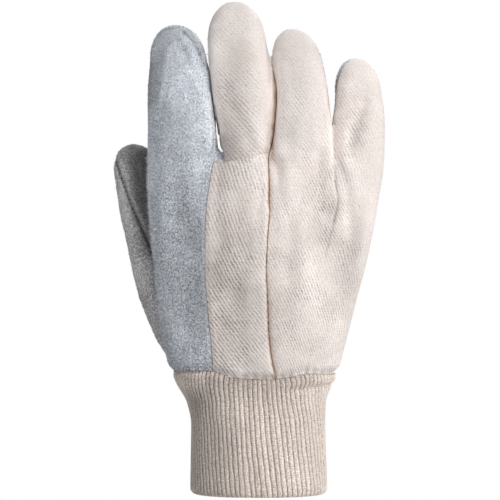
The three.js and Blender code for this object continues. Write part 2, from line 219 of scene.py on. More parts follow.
# height, left, right, back, palm side
sections = {
    "palm": [
        (55, -42.0, 38.0, -21.5, 21.7),
        (63, -45.0, 40.4, -22.8, 22.7),
        (73, -47.5, 43.4, -22.3, 22.4),
        (87, -49.5, 46.9, -20.9, 21.7),
        (102, -51.2, 50.8, -19.9, 21.1),
        (117, -52.6, 54.8, -18.8, 20.5),
        (132, -54.1, 58.0, -17.6, 19.6),
        (147, -54.9, 60.7, -16.0, 18.4),
        (160, -55.2, 62.4, -13.6, 16.2),
        (169, -54.0, 62.0, -9.5, 12.5),
        (174, -50.0, 58.0, -5.0, 7.5),
    ],
    "index": [
        (97, -46.5, -27.0, -11.5, 12.0),
        (134, -54.0, -25.4, -14.4, 14.6),
        (149, -55.2, -24.7, -15.6, 16.2),
        (163, -55.7, -22.9, -14.9, 16.2),
        (176, -56.1, -21.0, -13.9, 15.7),
        (205, -56.0, -24.2, -12.6, 15.0),
        (220, -54.9, -26.2, -11.6, 14.4),
    ],
    "middle": [
        (127, -22.0, 2.0, -10.0, 14.0),
        (155, -21.4, 5.0, -13.8, 17.0),
        (171, -19.3, 6.1, -14.4, 17.0),
        (183, -19.9, 6.8, -14.2, 16.8),
        (200, -23.0, 8.1, -13.8, 16.2),
        (211, -24.4, 7.8, -13.6, 15.8),
        (220, -25.5, 6.3, -13.2, 15.4),
        (228, -26.0, 4.2, -12.7, 15.0),
    ],
    "ring": [
        (97, 11.0, 32.0, -15.0, 10.0),
        (129, 7.0, 37.0, -17.6, 13.0),
        (146, 6.6, 39.3, -17.6, 16.0),
        (169, 6.9, 38.2, -16.0, 16.6),
        (185, 7.9, 37.2, -14.9, 16.1),
        (201, 9.1, 35.6, -14.0, 15.6),
        (210, 8.5, 34.3, -13.4, 15.2),
        (218, 7.3, 32.9, -12.8, 14.8),
    ],
    "little": [
        (97, 35.0, 46.0, -10.0, 10.0),
        (134, 38.6, 58.4, -12.8, 13.2),
        (148, 40.2, 60.9, -13.8, 14.4),
        (160, 38.4, 62.9, -13.2, 14.6),
        (172, 36.6, 64.0, -12.9, 14.6),
        (184, 36.9, 64.3, -12.5, 14.5),
        (194, 38.1, 64.0, -11.7, 14.2),
        (203, 39.2, 62.6, -11.2, 13.7),
    ],
    "knuckle": [
        (92, -25.0, 3.0, -16.0, 4.0),
        (122, -27.2, 4.8, -18.4, 4.0),
        (145, -26.6, 5.6, -18.3, 4.0),
        (158, -24.3, 5.7, -17.6, 4.0),
        (168, -21.8, 5.9, -16.9, 4.0),
        (179, -20.4, 6.2, -16.4, 4.0),
    ],
    "thumb": [
        (57, -35.3, -16.1, 6.0, 17.0),
        (72.5, -49.4, -14.1, 3.0, 27.5),
        (86.5, -56.5, -19.3, 3.4, 33.0),
        (101.5, -62.3, -25.4, 5.0, 37.5),
        (116, -66.1, -31.6, 8.4, 41.2),
        (130, -69.1, -37.1, 13.2, 44.6),
        (145.5, -72.6, -42.1, 18.2, 47.5),
        (160, -74.9, -46.4, 21.4, 49.3),
    ],
}

# where the dome that closes a limb has its top: across, depth before the fingers curl, height
tips = {
    "index": (-42.4, 3.0, 238.8),
    "middle": (-12.4, 2.0, 251.0),
    "ring": (17.0, 2.0, 236.8),
    "little": (49.6, 2.0, 221.6),
    "thumb": (-65.6, 36.0, 178.8),
}


def through(places, values, at):
    """A smooth curve through a few values, which never overshoots them and is flat beyond its ends."""
    places, values = np.asarray(places, float), np.asarray(values, float)
    at = np.clip(np.asarray(at, float), places[0], places[-1])
    rise = np.diff(values) / np.diff(places)
    before, after = rise[:-1], rise[1:]
    same_way = before * after > 0
    inner = np.where(same_way, 2 * before * after / np.where(same_way, before + after, 1), 0)
    slopes = np.concatenate([rise[:1], inner, rise[-1:]])
    i = np.clip(np.searchsorted(places, at, side="right") - 1, 0, len(places) - 2)
    run = places[i + 1] - places[i]
    t = (at - places[i]) / run
    start = (1 + 2 * t) * (1 - t) ** 2 * values[i] + t * (1 - t) ** 2 * run * slopes[i]
    end = t * t * (3 - 2 * t) * values[i + 1] + t * t * (t - 1) * run * slopes[i + 1]
    return start + end


def section_at(rows, z):
    """Left, right, back and palm side at some heights, from a table of sections."""
    heights, *columns = np.array(rows).T
    return [through(heights, column, z) for column in columns]


def curl(z):
    return CURL_REACH * (np.maximum(0, z - CURL_FROM) / CURL_LENGTH) ** 2


print("limbs:", ", ".join(sections))

# %% [markdown]
# ## From sections to closed bodies
#
# Rings of points are stacked up each limb and joined with faces, which is called a loft. A fingertip is a
# quarter of an ellipse turned over the last section, so its last rings shrink to a point.

# %% Loft a limb
SIDES = 72
RING_STEP = 3.0
DOME_STEPS = 14


def rounded(angle, squareness):
    """Places round a section, as shares of its half width and half depth."""
    return [np.sign(wave) * np.abs(wave) ** (2 / squareness) for wave in (np.cos(angle), np.sin(angle))]


def quads(rows, columns, round_rows=False, round_columns=True):
    """The four-sided faces of a grid of points, which may close on itself either way."""
    for row in range(rows if round_rows else rows - 1):
        above = (row + 1) % rows
        for i in range(columns if round_columns else columns - 1):
            after = (i + 1) % columns
            yield row * columns + i, row * columns + after, above * columns + after, above * columns + i


def limb_rows(name, inset):
    """Dense rows of height, left, right, back and palm side with the dome's rows over them, and the top."""
    low, high = sections[name][0][0], sections[name][-1][0]
    z = np.append(np.arange(low, high - 1, RING_STEP), high)
    left, right, back, front = section_at(sections[name], z)
    rows = np.stack([z, left + inset, right - inset, back + inset, front - inset], 1)
    if name not in tips:
        return rows, None
    tip_x, tip_y, tip_z = tips[name]
    last = rows[-1]
    angle = np.arange(1, DOME_STEPS) / DOME_STEPS * math.pi / 2
    rise, size = np.sin(angle), np.cos(angle)
    x = last[1:3].mean() + (tip_x - last[1:3].mean()) * rise
    y = last[3:5].mean() + (tip_y - last[3:5].mean()) * rise
    z = last[0] + (tip_z - inset - last[0]) * rise
    half_width, half_depth = np.ptp(last[1:3]) / 2 * size, np.ptp(last[3:5]) / 2 * size
    dome = np.stack([z, x - half_width, x + half_width, y - half_depth, y + half_depth], 1)
    return np.concatenate([rows, dome]), (tip_x, tip_y + curl(tip_z), tip_z - inset)


def loft(rows, squareness, top=None):
    """Points and faces of a closed body through rows of sections."""
    across, deep = rounded(np.arange(SIDES) / SIDES * 2 * math.pi, squareness)
    z, left, right, back, front = rows.T[:, :, None]
    x = (left + right) / 2 + (right - left) / 2 * across
    y = (back + front) / 2 + (front - back) / 2 * deep + curl(z)
    rings = np.stack([x, y, np.broadcast_to(z, x.shape)], 2)
    top = rings[-1].mean(0) if top is None else np.array(top)
    points = np.concatenate([rings.reshape(-1, 3), [rings[0].mean(0)], [top]])
    last_ring = (len(rows) - 1) * SIDES
    bottom_point, top_point = len(points) - 2, len(points) - 1
    faces = list(quads(len(rows), SIDES))
    for i in range(SIDES):
        after = (i + 1) % SIDES
        faces.append((bottom_point, after, i))
        faces.append((top_point, last_ring + i, last_ring + after))
    return points, faces


def limb(name, inset=0.0):
    rows, top = limb_rows(name, inset)
    return loft(rows, SQUARENESS[name], top)


points, faces = limb("middle")
print("middle finger:", len(points), "points,", len(faces), "faces")

# %% [markdown]
# ## Fusing the limbs
#
# Where fingers grow out of the palm, a sewn glove has no sharp crease but a soft run of cloth. A boolean
# union would leave creases. A voxel remesh fuses the limbs and gives small even faces, which the folds need,
# and a little smoothing then blends the joins, as the tension of the cloth does.

# %% Fuse and soften
FINE_VOXEL, PALM_VOXEL, ROOM_VOXEL = 0.62, 0.82, 1.1
WALL = 1.6
# the room inside the palm runs down this far, so that the hand is open at the wrist
WRIST_RUN = 12
# how much the thumb's back turns away from the index finger, so that it faces a little to the left
THUMB_LEAN = 0.32
HAND = ("palm", "index", "middle", "ring", "little")


def mesh_object(name, points_mm, faces):
    mesh = bpy.data.meshes.new(name)
    mesh.from_pydata((np.asarray(points_mm) * MM).tolist(), [], faces)
    obj = bpy.data.objects.new(name, mesh)
    scene.collection.objects.link(obj)
    return obj


def settled(obj):
    """The object with its modifiers turned into plain mesh."""
    depsgraph = bpy.context.evaluated_depsgraph_get()
    mesh = bpy.data.meshes.new_from_object(obj.evaluated_get(depsgraph))
    obj.modifiers.clear()
    old = obj.data
    obj.data = mesh
    bpy.data.meshes.remove(old)
    return obj


def fused(name, limbs, voxel, rounds):
    """One body from the points and faces of several limbs."""
    points, faces, start = [], [], 0
    for limb_points, limb_faces in limbs:
        points.append(limb_points)
        faces += [tuple(start + i for i in face) for face in limb_faces]
        start += len(limb_points)
    obj = mesh_object(name, np.concatenate(points), faces)
    remesh = obj.modifiers.new("fuse", "REMESH")
    remesh.mode = "VOXEL"
    remesh.voxel_size = voxel * MM
    smooth = obj.modifiers.new("soften", "SMOOTH")
    smooth.factor = 0.5
    smooth.iterations = rounds
    return settled(obj)


def read(elements, what):
    values = np.empty(len(elements) * 3)
    elements.foreach_get(what, values)
    return values.reshape(-1, 3)


def points_of(obj):
    return read(obj.data.vertices, "co") / MM


def normals_of(obj):
    return read(obj.data.vertex_normals, "vector")


def set_points(obj, points_mm):
    obj.data.vertices.foreach_set("co", (points_mm * MM).ravel())
    obj.data.update()


def wrist_room():
    first = limb_rows("palm", WALL)[0][:2]
    lowest = first[:1].copy()
    lowest[0, 0] -= WRIST_RUN
    return loft(np.concatenate([lowest, first]), SQUARENESS["palm"])


def thumb_limb(inset=0.0):
    points, faces = limb("thumb", inset)
    x, y, z = points.T
    left, right, back, front = section_at(sections["thumb"], z)
    towards_hand = np.clip(x - (left + right) / 2, 0, None)
    towards_back = np.clip((front - y + curl(z)) / (front - back), 0, 1)
    points[:, 1] += THUMB_LEAN * towards_hand * towards_back
    return points, faces


hand_limbs = [limb(name) for name in HAND]
hand_rooms = [limb(name, WALL) for name in HAND] + [wrist_room()]
# what each form is fused from, the size of its voxels, and how many rounds soften it
form_table = {
    "hand": (hand_limbs, FINE_VOXEL, 22),
    "palm_form": (hand_limbs, PALM_VOXEL, 13),
    "panel_form": (hand_limbs + [limb("knuckle")], FINE_VOXEL, 12),
    "hand_room": (hand_rooms, ROOM_VOXEL, 7),
    "thumb": ([thumb_limb()], FINE_VOXEL, 8),
    "thumb_room": ([thumb_limb(WALL)], ROOM_VOXEL, 3),
}
# every body that the pieces are cut from or cut with
bodies = {name: fused(name, *row) for name, row in form_table.items()}
for name, body in bodies.items():
    print(name, len(body.data.polygons), "faces")

# %% [markdown]
# ## Where the seams run
#
# Seams are what makes the pieces read as sewn. Their lines are given as a few places on the photo's outline
# and smoothed. The side seam is different: it runs round the edge of the hand, and beside three fingertips
# the palm's leather reaches round to the back.

# %% Seam lines
leather_seam = [(47, -22.7), (67, -23.1), (93, -25.3), (113, -26.8), (134, -26.8), (149, -25.8),
                (158, -24.5), (166, -23.2), (167.8, -22.4), (169.6, -17.9), (173.5, -18.2), (180, -19.9),
                (191, -22.1), (206, -24.0), (220, -25.6), (228, -26.4)]
centre_seam = [(47, 9.0), (60, 8.6), (65, 7.4), (73, 6.0), (83, 5.0), (101, 4.4), (107, 4.1), (113, 3.8),
               (123, 4.2), (131, 4.6), (137, 5.1), (143, 5.6), (149, 5.2), (157, 5.3), (165, 5.1),
               (170, 5.0), (172, 5.4), (175, 6.2), (180, 7.3), (185, 7.9), (190, 8.4), (196, 8.9),
               (202, 9.1), (207, 8.8), (212, 7.8), (220, 6.3), (228, 5.8)]
thumb_seam = [(47, -44.8), (63, -46.3), (87, -50.6), (102, -52.0), (115, -53.0), (125, -56.2),
              (135, -60.6), (145.5, -65.4), (158, -70.4), (170, -74.6), (184, -79.0)]
cuff_seam = [(-44, 61.8), (-37, 63.1), (-24, 63.1), (-18, 61.3), (-12, 59.5), (4, 58.7), (16, 59.8),
             (24, 61.5), (40, 60.7)]
finger_base_seam = [(-30, 167.8), (-16, 167.9), (-7, 169.5), (1, 171.7), (12, 174.3)]
SIDE_SEAM_DEPTH = 2.0

# how wide the air is along the centre seam, which fingers open
centre_gap = [(47, 0.3), (140, 0.3), (150, 0.4), (158, 0.3), (172, 0.3), (180, 0.4), (228, 0.3)]
# how much painted shade browns the cloth beside it, and how hard it pulls the cloth in
seam_painted_shade = [(60, 0.5), (83, 0.75), (100, 0.45), (120, 0.2), (138, 0.2), (150, 0.75), (160, 0.4), (166, 0.2),
           (176, 0.7), (198, 0.8), (207, 0.45), (213, 0.1), (228, 0.1)]
pulled = [(60, 0.9), (83, 1.0), (105, 0.7), (120, 0.45), (138, 0.5), (150, 1.1), (160, 0.7), (170, 0.6)]

# the air between two fingers: height, its left edge and its right edge
index_middle_gap = [(172.8, -18.9, -18.0), (175, -20.5, -18.9), (182, -21.5, -20.6), (190, -22.5, -22.1),
                    (199, -23.5, -23.2), (212, -24.9, -24.6), (219, -26.0, -25.4), (226, -27.6, -25.8),
                    (233, -31.0, -26.0)]
# on the palm side the touching fingers part a little beside that line, so that no light comes through
index_middle_palm_gap = [(173.5, -19.5, -17.8), (175, -20.5, -18.6), (182, -21.5, -20.5),
                         (189, -21.8, -21.5), (199, -22.6, -22.2), (212, -24.0, -23.6),
                         (219, -26.0, -25.2), (226, -27.6, -25.8), (233, -31.0, -26.0)]
middle_ring_palm_gap = [(176, 5.8, 6.2), (183, 5.9, 6.3), (200, 6.9, 7.3), (211, 6.8, 7.2), (218, 6.5, 7.3),
                        (226, 4.9, 7.2), (236, 3.0, 13.0)]
ring_little_gap = [(186.3, 37.2, 37.5), (188.5, 36.9, 37.8), (192, 36.6, 38.2), (197, 36.2, 38.9),
                   (203, 35.7, 39.4)]

# across, height, how far it reaches across and along, how far it comes round
wraps = [
    (-32, 224, 4.5, 18, 8.0),
    (33, 221, 6, 20, 4.0),
    (41, 214, 6, 14, 4.0),
]


def along(seam, at):
    places, values = zip(*seam)
    return through(places, values, at)


def side_seam(x, z):
    """How deep the side seam lies, which the leather's wraps draw round to the back."""
    reach = sum(depth * np.exp(-((x - over) / wide) ** 2 - ((z - up) / tall) ** 2)
                for over, up, wide, tall, depth in wraps)
    return SIDE_SEAM_DEPTH + curl(z) - reach


print("seams: leather, centre, thumb, wrist, finger base, side")

# %% [markdown]
# ## Folds, puckers and seam grooves
#
# Cloth over a hand is never smooth. A cloth simulation could make folds, but not the ones in the photo. So
# each fold is a soft valley or ridge drawn along a short line, seams press the cloth in because both edges
# turn inwards there, and puckers ride along the seams at the pitch of the stitches.

# %% Folds on the back
# from, over and to (across, height), how far it reaches, how deep it is: a ridge has a depth below nought
folds = [
    ((-12, 100), (-9, 83), (-5.8, 65), 6, 1.7),
    ((-20, 103), (-17, 101), (-13, 99), 7, 0.7),
    ((3.0, 167), (3.4, 145), (3.6, 122), 2.2, -0.6),
    ((-13, 160), (-12, 142), (-9, 125), 7, 1.1),
    ((31, 170), (32, 157), (33, 143), 4, 1.9),
    ((54, 197), (50, 188), (45, 172), 3.4, 1.3),
    ((-2.5, 174), (-7, 183), (-12, 193), 4, 1.0),
    ((-8, 172), (-6, 178), (-4, 186), 8, 0.9),
    ((4.5, 174), (6.0, 186), (6.5, 198), 2.6, -0.5),
    ((-45, 224), (-44, 212), (-45, 198), 4.5, -0.7),
    ((-36, 222), (-32, 214), (-29, 205), 3, 0.6),
    ((46.5, 133), (46, 117), (44, 101), 7, 1.6),
    ((21, 121), (31, 92), (40, 65), 8, -0.8),
    ((16, 125), (14, 102), (13.5, 79), 6, 0.9),
    ((-25, 166), (-26, 140), (-26, 110), 9, 1.7),
    ((-1, 166), (-1, 142), (-1, 118), 5, -0.7),
    ((12, 172), (12, 150), (12, 124), 5, -0.9),
    ((-27, 212), (-26, 195), (-25, 176), 3.5, -1.1),
    ((-22, 226), (-20.5, 205), (-17.5, 182), 3.5, -1.1),
    ((11.5, 214), (12, 192), (11.5, 172), 3.5, -1.1),
    ((43, 205), (41.5, 186), (43, 165), 3.5, -0.9),
    ((22, 63), (31, 67), (40, 72), 2.4, 0.9),
    ((36.8, 190), (36.9, 178), (37.4, 164), 2.6, -1.3),
    ((-38.4, 234.2), (-32.8, 229), (-29.7, 222.5), 0.8, 0.9),
    ((-29.7, 222.5), (-26.6, 216), (-24.8, 204), 0.8, 0.8),
    ((-24.8, 204), (-24.2, 198), (-23.6, 190), 0.9, 0.5),
    ((-38.5, 230), (-34, 222), (-31, 208), 1.8, -0.5),
    ((-45.8, 224), (-47.5, 213), (-50, 196), 1.7, -0.7),
    ((-42.4, 226), (-37.3, 216), (-30, 203), 1.9, -0.6),
]

# folds of the palm's leather, where a hand bends
palm_folds = [
    ((-24, 160), (6, 156), (50, 150), 5, 1.0),
    ((-30, 138), (2, 126), (46, 134), 5, 0.8),
    ((-20, 128), (-10, 104), (-12, 72), 6, 1.1),
    ((20, 118), (26, 98), (22, 74), 8, 0.7),
    ((-52, 190), (-40, 188), (-28, 190), 3, 0.8),
    ((-20, 196), (-8, 194), (4, 196), 3, 0.8),
    ((11, 190), (22, 188), (33, 190), 3, 0.8),
    ((40, 182), (50, 180), (61, 183), 3, 0.7),
    ((-53, 212), (-42, 210), (-30, 212), 2.5, 0.5),
    ((-23, 221), (-10, 219), (3, 221), 2.5, 0.5),
    ((10, 211), (20, 209), (32, 211), 2.5, 0.5),
    ((-44, 100), (-28, 86), (-14, 78), 7, -0.9),
]

thumb_folds = [
    ((-63, 168), (-58.5, 145), (-55, 122), 4.5, 1.7),
    ((-66, 176), (-64, 166), (-60, 158), 3, 0.8),
    ((-70, 150), (-66, 132), (-61, 112), 4, -0.5),
]

# the ring finger's cloth stands over the little finger's along this crease
crease = [(121, 33.6), (128, 35.2), (137.7, 37.8), (146.3, 39.8), (149.9, 39.9), (155.4, 38.8),
          (169, 37.9), (186, 37.3), (192, 37.2)]
CREASE_DROP, CREASE_EDGE, CREASE_REACH = 1.3, 0.7, 3.5
CREASE_BEGINS, CREASE_ENDS = (119, 140), (186, 192)

# a fold fades where the skin turns away from its side, and the back's seams end under the fingers
FACING = (0, 0.6)
FACING_SEAM = (0.05, 0.4)
UNDER_FINGERS = (162, 174)
# the stitches' pitch along each seam, and the wider pitch at which the wrist's seam gathers the hand
PITCH = {"leather": 3.1, "centre": 3.4, "side": 3.2, "thumb": 2.6, "index": 2.4, "wrist": 3.0}
WRIST_GATHERS = 4.5
# the seam of the thumb slants, so that a way straight across it is this share of the way sideways
THUMB_SLANT = 0.93
# the roll of leather beside it: how high it stands, how far to the right, and its reach
THUMB_ROLL_HEIGHT, THUMB_ROLL_PLACE, THUMB_ROLL_REACH = 0.9, 3.0, 1.7
# the share of a groove's depth that comes and goes with the stitches, and how slowly their places drift
PUCKER, PUCKER_DRIFT = 0.15, 11
# slack: how far the skin wanders in and out, over how many millimetres, and the noise's seed
HAND_SLACK = ((0.30, 17, 1), (0.14, 6, 2))
THUMB_SLACK = ((0.42, 15, 3), (0.18, 5, 4))


def line_distance(x, z, *corners):
    best = np.full(np.shape(x), 1e9)
    for (ax, az), (bx, bz) in zip(corners, corners[1:]):
        run_x, run_z = bx - ax, bz - az
        t = np.clip(((x - ax) * run_x + (z - az) * run_z) / (run_x ** 2 + run_z ** 2), 0, 1)
        best = np.minimum(best, np.hypot(x - ax - t * run_x, z - az - t * run_z))
    return best


def bump(away, reach):
    return np.exp(-(away / reach) ** 2)


def ramp(value, low, high):
    t = np.clip((value - low) / (high - low), 0, 1)
    return t * t * (3 - 2 * t)


def wander(points, size, seed):
    """Smooth noise from -1 to 1 that changes over a size in millimetres."""
    shift = Vector((seed * 7.3, seed * 3.1, seed * 5.7))
    return np.array([noise.noise(Vector(point) / size + shift) for point in points])


def slack(points, rows):
    return sum(amount * wander(points, size, seed) for amount, size, seed in rows)


def spread(x, z, lines):
    """The sum of soft lines: each has its corners (across, height), its reach and its amount."""
    total = np.zeros(len(x))
    for *corners, reach, amount in lines:
        total += amount * bump(line_distance(x, z, *corners), reach)
    return total


def fold_depth(points, facing_back):
    x, z = points[:, 0], points[:, 2]
    away = x - along(crease, z)
    drop = CREASE_DROP * ramp(z, *CREASE_BEGINS) * (1 - ramp(z, *CREASE_ENDS))
    drop *= np.where(away > 0, np.exp(-away.clip(0) / CREASE_REACH), bump(away, CREASE_EDGE))
    on_back = spread(x, z, folds) + drop
    return on_back * ramp(facing_back, *FACING) + spread(x, z, palm_folds) * ramp(-facing_back, *FACING)


def groove(away, run, pitch, start, wide, deep):
    """A seam's valley, with puckers at the stitches' pitch."""
    drift = 2 * np.sin(run / PUCKER_DRIFT + start)
    pucker = 1 + PUCKER * np.sin(2 * math.pi * run / pitch + drift)
    return deep * bump(away, wide) * pucker


def press_hand(obj):
    """Moves the hand's skin in at folds and seams, and its room with it, so that the wall stays even."""
    points, normals = points_of(obj), normals_of(obj)
    x, y, z = points.T
    back = -normals[:, 1]
    shown = ramp(back, *FACING_SEAM) * (1 - ramp(z, *UNDER_FINGERS))
    edge = np.sqrt(np.clip(1 - normals[:, 1] ** 2, 0.05, 1))
    seams = [
        shown * groove(x - along(leather_seam, z), z, PITCH["leather"], 1, wide=1.2, deep=0.8),
        shown * along(pulled, z)
        * groove(x - along(centre_seam, z), z, PITCH["centre"], 2, wide=1.3, deep=1.0),
        groove((y - side_seam(x, z)) / edge, z + x, PITCH["side"], 3, wide=1.6, deep=1.0),
        groove(z - along(cuff_seam, x), x, WRIST_GATHERS, 4, wide=2.6, deep=1.9),
    ]
    depth = fold_depth(points, back) + np.max(seams, axis=0) + slack(points, HAND_SLACK)
    set_points(obj, points - normals * depth[:, None])


def press_thumb(obj):
    """The thumb's seam with the roll of leather to its right, the creases and the slack."""
    points, normals = points_of(obj), normals_of(obj)
    x, y, z = points.T
    away = x - along(thumb_seam, z)
    depth = groove(away * THUMB_SLANT, z, PITCH["thumb"], 5, wide=1.1, deep=1.6)
    depth -= THUMB_ROLL_HEIGHT * bump(away - THUMB_ROLL_PLACE, THUMB_ROLL_REACH)
    depth = (depth + spread(x, z, thumb_folds)) * ramp(-normals[:, 1], *FACING)
    depth += slack(points, THUMB_SLACK)
    set_points(obj, points - normals * depth[:, None])


for name in form_table:
    press = press_thumb if name.startswith("thumb") else press_hand
    press(bodies[name])
print("skin pressed in at", len(folds) + len(palm_folds) + len(thumb_folds), "folds and 5 seams")

# %% [markdown]
# ## Cutting the skin into pieces
#
# The skin is the fused form less the room inside it. Each piece could be modelled alone, but then its edges
# would not meet its neighbours'. So it is cut out of the skin with regions that run through the glove, as a
# pattern piece is cut from a hide, and the cuts leave a hair of air at each seam.

# %% Regions and cuts
SEAM_GAP = 0.3
FAR = 300
SEAM_STEP, SIDE_STEP = 1.0, 2.0
# the heights and the half width that a seam's region covers, and the edges of the side seam's surface
SEAM_LOW, SEAM_HIGH, SEAM_SIDE = 40, 265, 90
SIDE_LEFT, SIDE_RIGHT, SIDE_LOW, SIDE_HIGH = -84, 82, 40, 266
# how far the cloth of the middle finger is tucked under the panel
TUCK = 4.0
# over this depth towards the back, the folds come to press on the knuckle's room in full
KNUCKLE_BACK = (0, 9)


def prism(name, outline):
    """A closed body over an outline in the plane of the back of the hand."""
    count = len(outline)
    points = [(x, y, z) for y in (-FAR, FAR) for x, z in outline]
    faces = [tuple(range(count)), tuple(range(2 * count - 1, count - 1, -1))]
    faces += [(i, i + count, (i + 1) % count + count, (i + 1) % count) for i in range(count)]
    return right_way_out(mesh_object(name, points, faces))


def right_way_out(obj):
    """The body, with its faces turned outwards if its volume says that they point in."""
    points = points_of(obj)
    volume = 0.0
    for face in obj.data.polygons:
        corner = [points[i] for i in face.vertices]
        for i in range(1, len(corner) - 1):
            volume += np.dot(corner[0], np.cross(corner[i], corner[i + 1]))
    if volume < 0:
        obj.data.flip_normals()
    return obj


def upright(seam, side, gap=((0, SEAM_GAP), (FAR, SEAM_GAP))):
    """The region to one side of a seam that runs up the glove: side is -1 for left and 1 for right."""
    z = np.arange(SEAM_LOW, SEAM_HIGH + SEAM_STEP, SEAM_STEP)
    x = along(seam, z) + side * along(gap, z) / 2
    return list(zip(x, z)) + [(side * FAR, SEAM_HIGH), (side * FAR, SEAM_LOW)]


def between(rows):
    """The outline of the air between two fingers."""
    left = [(left, z) for z, left, right in rows]
    right = [(right, z) for z, left, right in rows]
    return left + right[::-1]


def level(seam, side, shift=0.0):
    """The region above (1) or below (-1) a seam that runs across the glove."""
    x = np.arange(-SEAM_SIDE, SEAM_SIDE + SEAM_STEP, SEAM_STEP)
    z = along(seam, x) + side * SEAM_GAP / 2 + shift
    return list(zip(x, z)) + [(SEAM_SIDE, side * FAR), (-SEAM_SIDE, side * FAR)]


def side_region(name, side):
    """The region on the palm's side (1) or the back's side (-1) of the seam that runs round the hand."""
    x, z = np.meshgrid(np.arange(SIDE_LEFT, SIDE_RIGHT + SIDE_STEP, SIDE_STEP),
                       np.arange(SIDE_LOW, SIDE_HIGH + SIDE_STEP, SIDE_STEP))
    near = side_seam(x, z) + side * SEAM_GAP / 2
    far = np.full(x.shape, side * FAR, float)
    rows, columns = x.shape
    points = np.concatenate([np.stack([x, y, z], 2).reshape(-1, 3) for y in (near, far)])
    layer = rows * columns
    faces = []
    for quad in quads(rows, columns, round_columns=False):
        faces += [quad, tuple(i + layer for i in reversed(quad))]
    rim = list(range(columns - 1))
    rim += [row * columns + columns - 1 for row in range(rows - 1)]
    rim += [(rows - 1) * columns + column for column in range(columns - 1, 0, -1)]
    rim += [row * columns for row in range(rows - 1, 0, -1)]
    faces += [(a, a + layer, b + layer, b) for a, b in zip(rim, rim[1:] + rim[:1])]
    return right_way_out(mesh_object(name, points, faces))


def cut_out(name, recipe):
    """A copy of the recipe's first body, cut with the rest: + keeps what is in a body, - what is outside."""
    start, *steps = recipe.split()
    obj = bpy.data.objects.new(name, bodies[start].data.copy())
    scene.collection.objects.link(obj)
    for step in steps:
        modifier = obj.modifiers.new("cut", "BOOLEAN")
        modifier.operation = {"+": "INTERSECT", "-": "DIFFERENCE"}[step[0]]
        modifier.object = bodies[step[1:]]
        modifier.solver = "MANIFOLD"
    return settled(obj)


outlines = {
    "over_wrist": level(cuff_seam, 1),
    "left_of_leather": upright(leather_seam, -1),
    "right_of_leather": upright(leather_seam, 1),
    "left_of_centre": upright(centre_seam, -1, centre_gap),
    "right_of_centre": upright(centre_seam, 1, centre_gap),
    "left_of_thumb_seam": upright(thumb_seam, -1),
    "right_of_thumb_seam": upright(thumb_seam, 1),
    "under_base": level(finger_base_seam, -1),
    "tuck_line": level(finger_base_seam, 1, -TUCK),
    "index_middle_air": between(index_middle_gap),
    "index_middle_palm_air": between(index_middle_palm_gap),
    "middle_ring_palm_air": between(middle_ring_palm_gap),
    "ring_little_air": between(ring_little_gap),
}
bodies["palm_side"] = side_region("palm_side", 1)
bodies["back_side"] = side_region("back_side", -1)
for name, outline in outlines.items():
    bodies[name] = prism(name, outline)
for name, inset in {"knuckle_room": WALL, "under_knuckle": WALL + SEAM_GAP}.items():
    bodies[name] = mesh_object(name, *limb("knuckle", inset))
    points = points_of(bodies[name])
    points[:, 1] += spread(points[:, 0], points[:, 2], folds) * ramp(-points[:, 1], *KNUCKLE_BACK)
    set_points(bodies[name], points)
bodies["back_skin"] = cut_out(
    "back_skin", "hand -hand_room +over_wrist +back_side -index_middle_air -ring_little_air")
bodies["over_tuck"] = cut_out("over_tuck", "under_base -under_knuckle")

cutting_table = {
    "palm_leather": "palm_form -hand_room +over_wrist +palm_side -thumb_room -index_middle_palm_air"
                    " -middle_ring_palm_air -ring_little_air",
    "index_leather": "back_skin +left_of_leather -thumb_room",
    "outer_back_panel": "back_skin +right_of_centre",
    "middle_finger_back": "back_skin +right_of_leather +left_of_centre +tuck_line -over_tuck",
    "inner_back_panel": "panel_form -hand_room -knuckle_room +back_side +right_of_leather +left_of_centre"
                        " +under_base +over_wrist",
    "thumb_inner_leather": "thumb -thumb_room -hand +right_of_thumb_seam +over_wrist",
    "thumb_outer_leather": "thumb -thumb_room -hand +left_of_thumb_seam +over_wrist",
}
pieces = {node: cut_out(node + "_piece", recipe) for node, recipe in cutting_table.items()}
for node, piece in pieces.items():
    print(node, len(piece.data.vertices), "points")

# %% [markdown]
# ## The knit wrist
#
# The wrist is knitted in ribs, so that it stretches over the hand and grips. Ribs could be painted on with
# a bump, but they show at the outline too, so they are real here. The tube is a grid: columns run round it,
# ten to a rib, and rows run up it. It is turned over at the hem, where the knit is folded.

# %% Knit the ribs
RIB_COUNT = 79
RIB_COLUMNS = 10
RIB_HEIGHT = 0.85
# the exponent of a rib's section: the higher it is, the broader the rib and the narrower its groove
RIB_ROUND = 3.4
KNIT_WALL = 2.0
CUFF_SQUARENESS = 2.2
CUFF_HALF_WIDTH, CUFF_HALF_DEPTH = 33.7, 22.7
HEM = 1.2
OUTSIDE_ROWS = 66
INSIDE_ROWS = 16
# into how many points the section is cut to measure the way round it
SECTION_POINTS = 7201
# the steps of the fold at the hem, in degrees from the outside round to the inside
HEM_TURNS = (36, 72, 108, 144)
# how far the ribs waver, how often round the wrist, over how many millimetres, and where the noise starts
WAVERS = ((0.16, 2.4, 16, 0), (0.14, 12, 7, 20))
# how closely the ribs lie, from left to right: the seam gathers the knit most at the thumb's side
crowding = [(-34, 1.32), (-26, 1.30), (-12, 1.06), (0, 1.0), (12, 1.0), (24, 1.08), (34, 1.16)]
# how far the ribs shift round for each millimetre up, in ribs: low down they lean, and where the knit
# widens they turn back and come round from the palm side, so that they still run nearly upright
RIB_LEAN = 0.036
FAN_TURN, FAN_SPREAD = -0.02, 0.19
FAN_FROM, FAN_SOFTNESS = 40, 6
# on the right the knit makes a roll below the seam, above a pleat: across and height
pleat = [(-40, 53.0), (10, 53.2), (24, 54.2), (37, 55.8)]
# across, from where to where both come in, and the seam draws in less
ON_RIGHT, SEAM_ON_RIGHT = (6, 18), (10, 24)
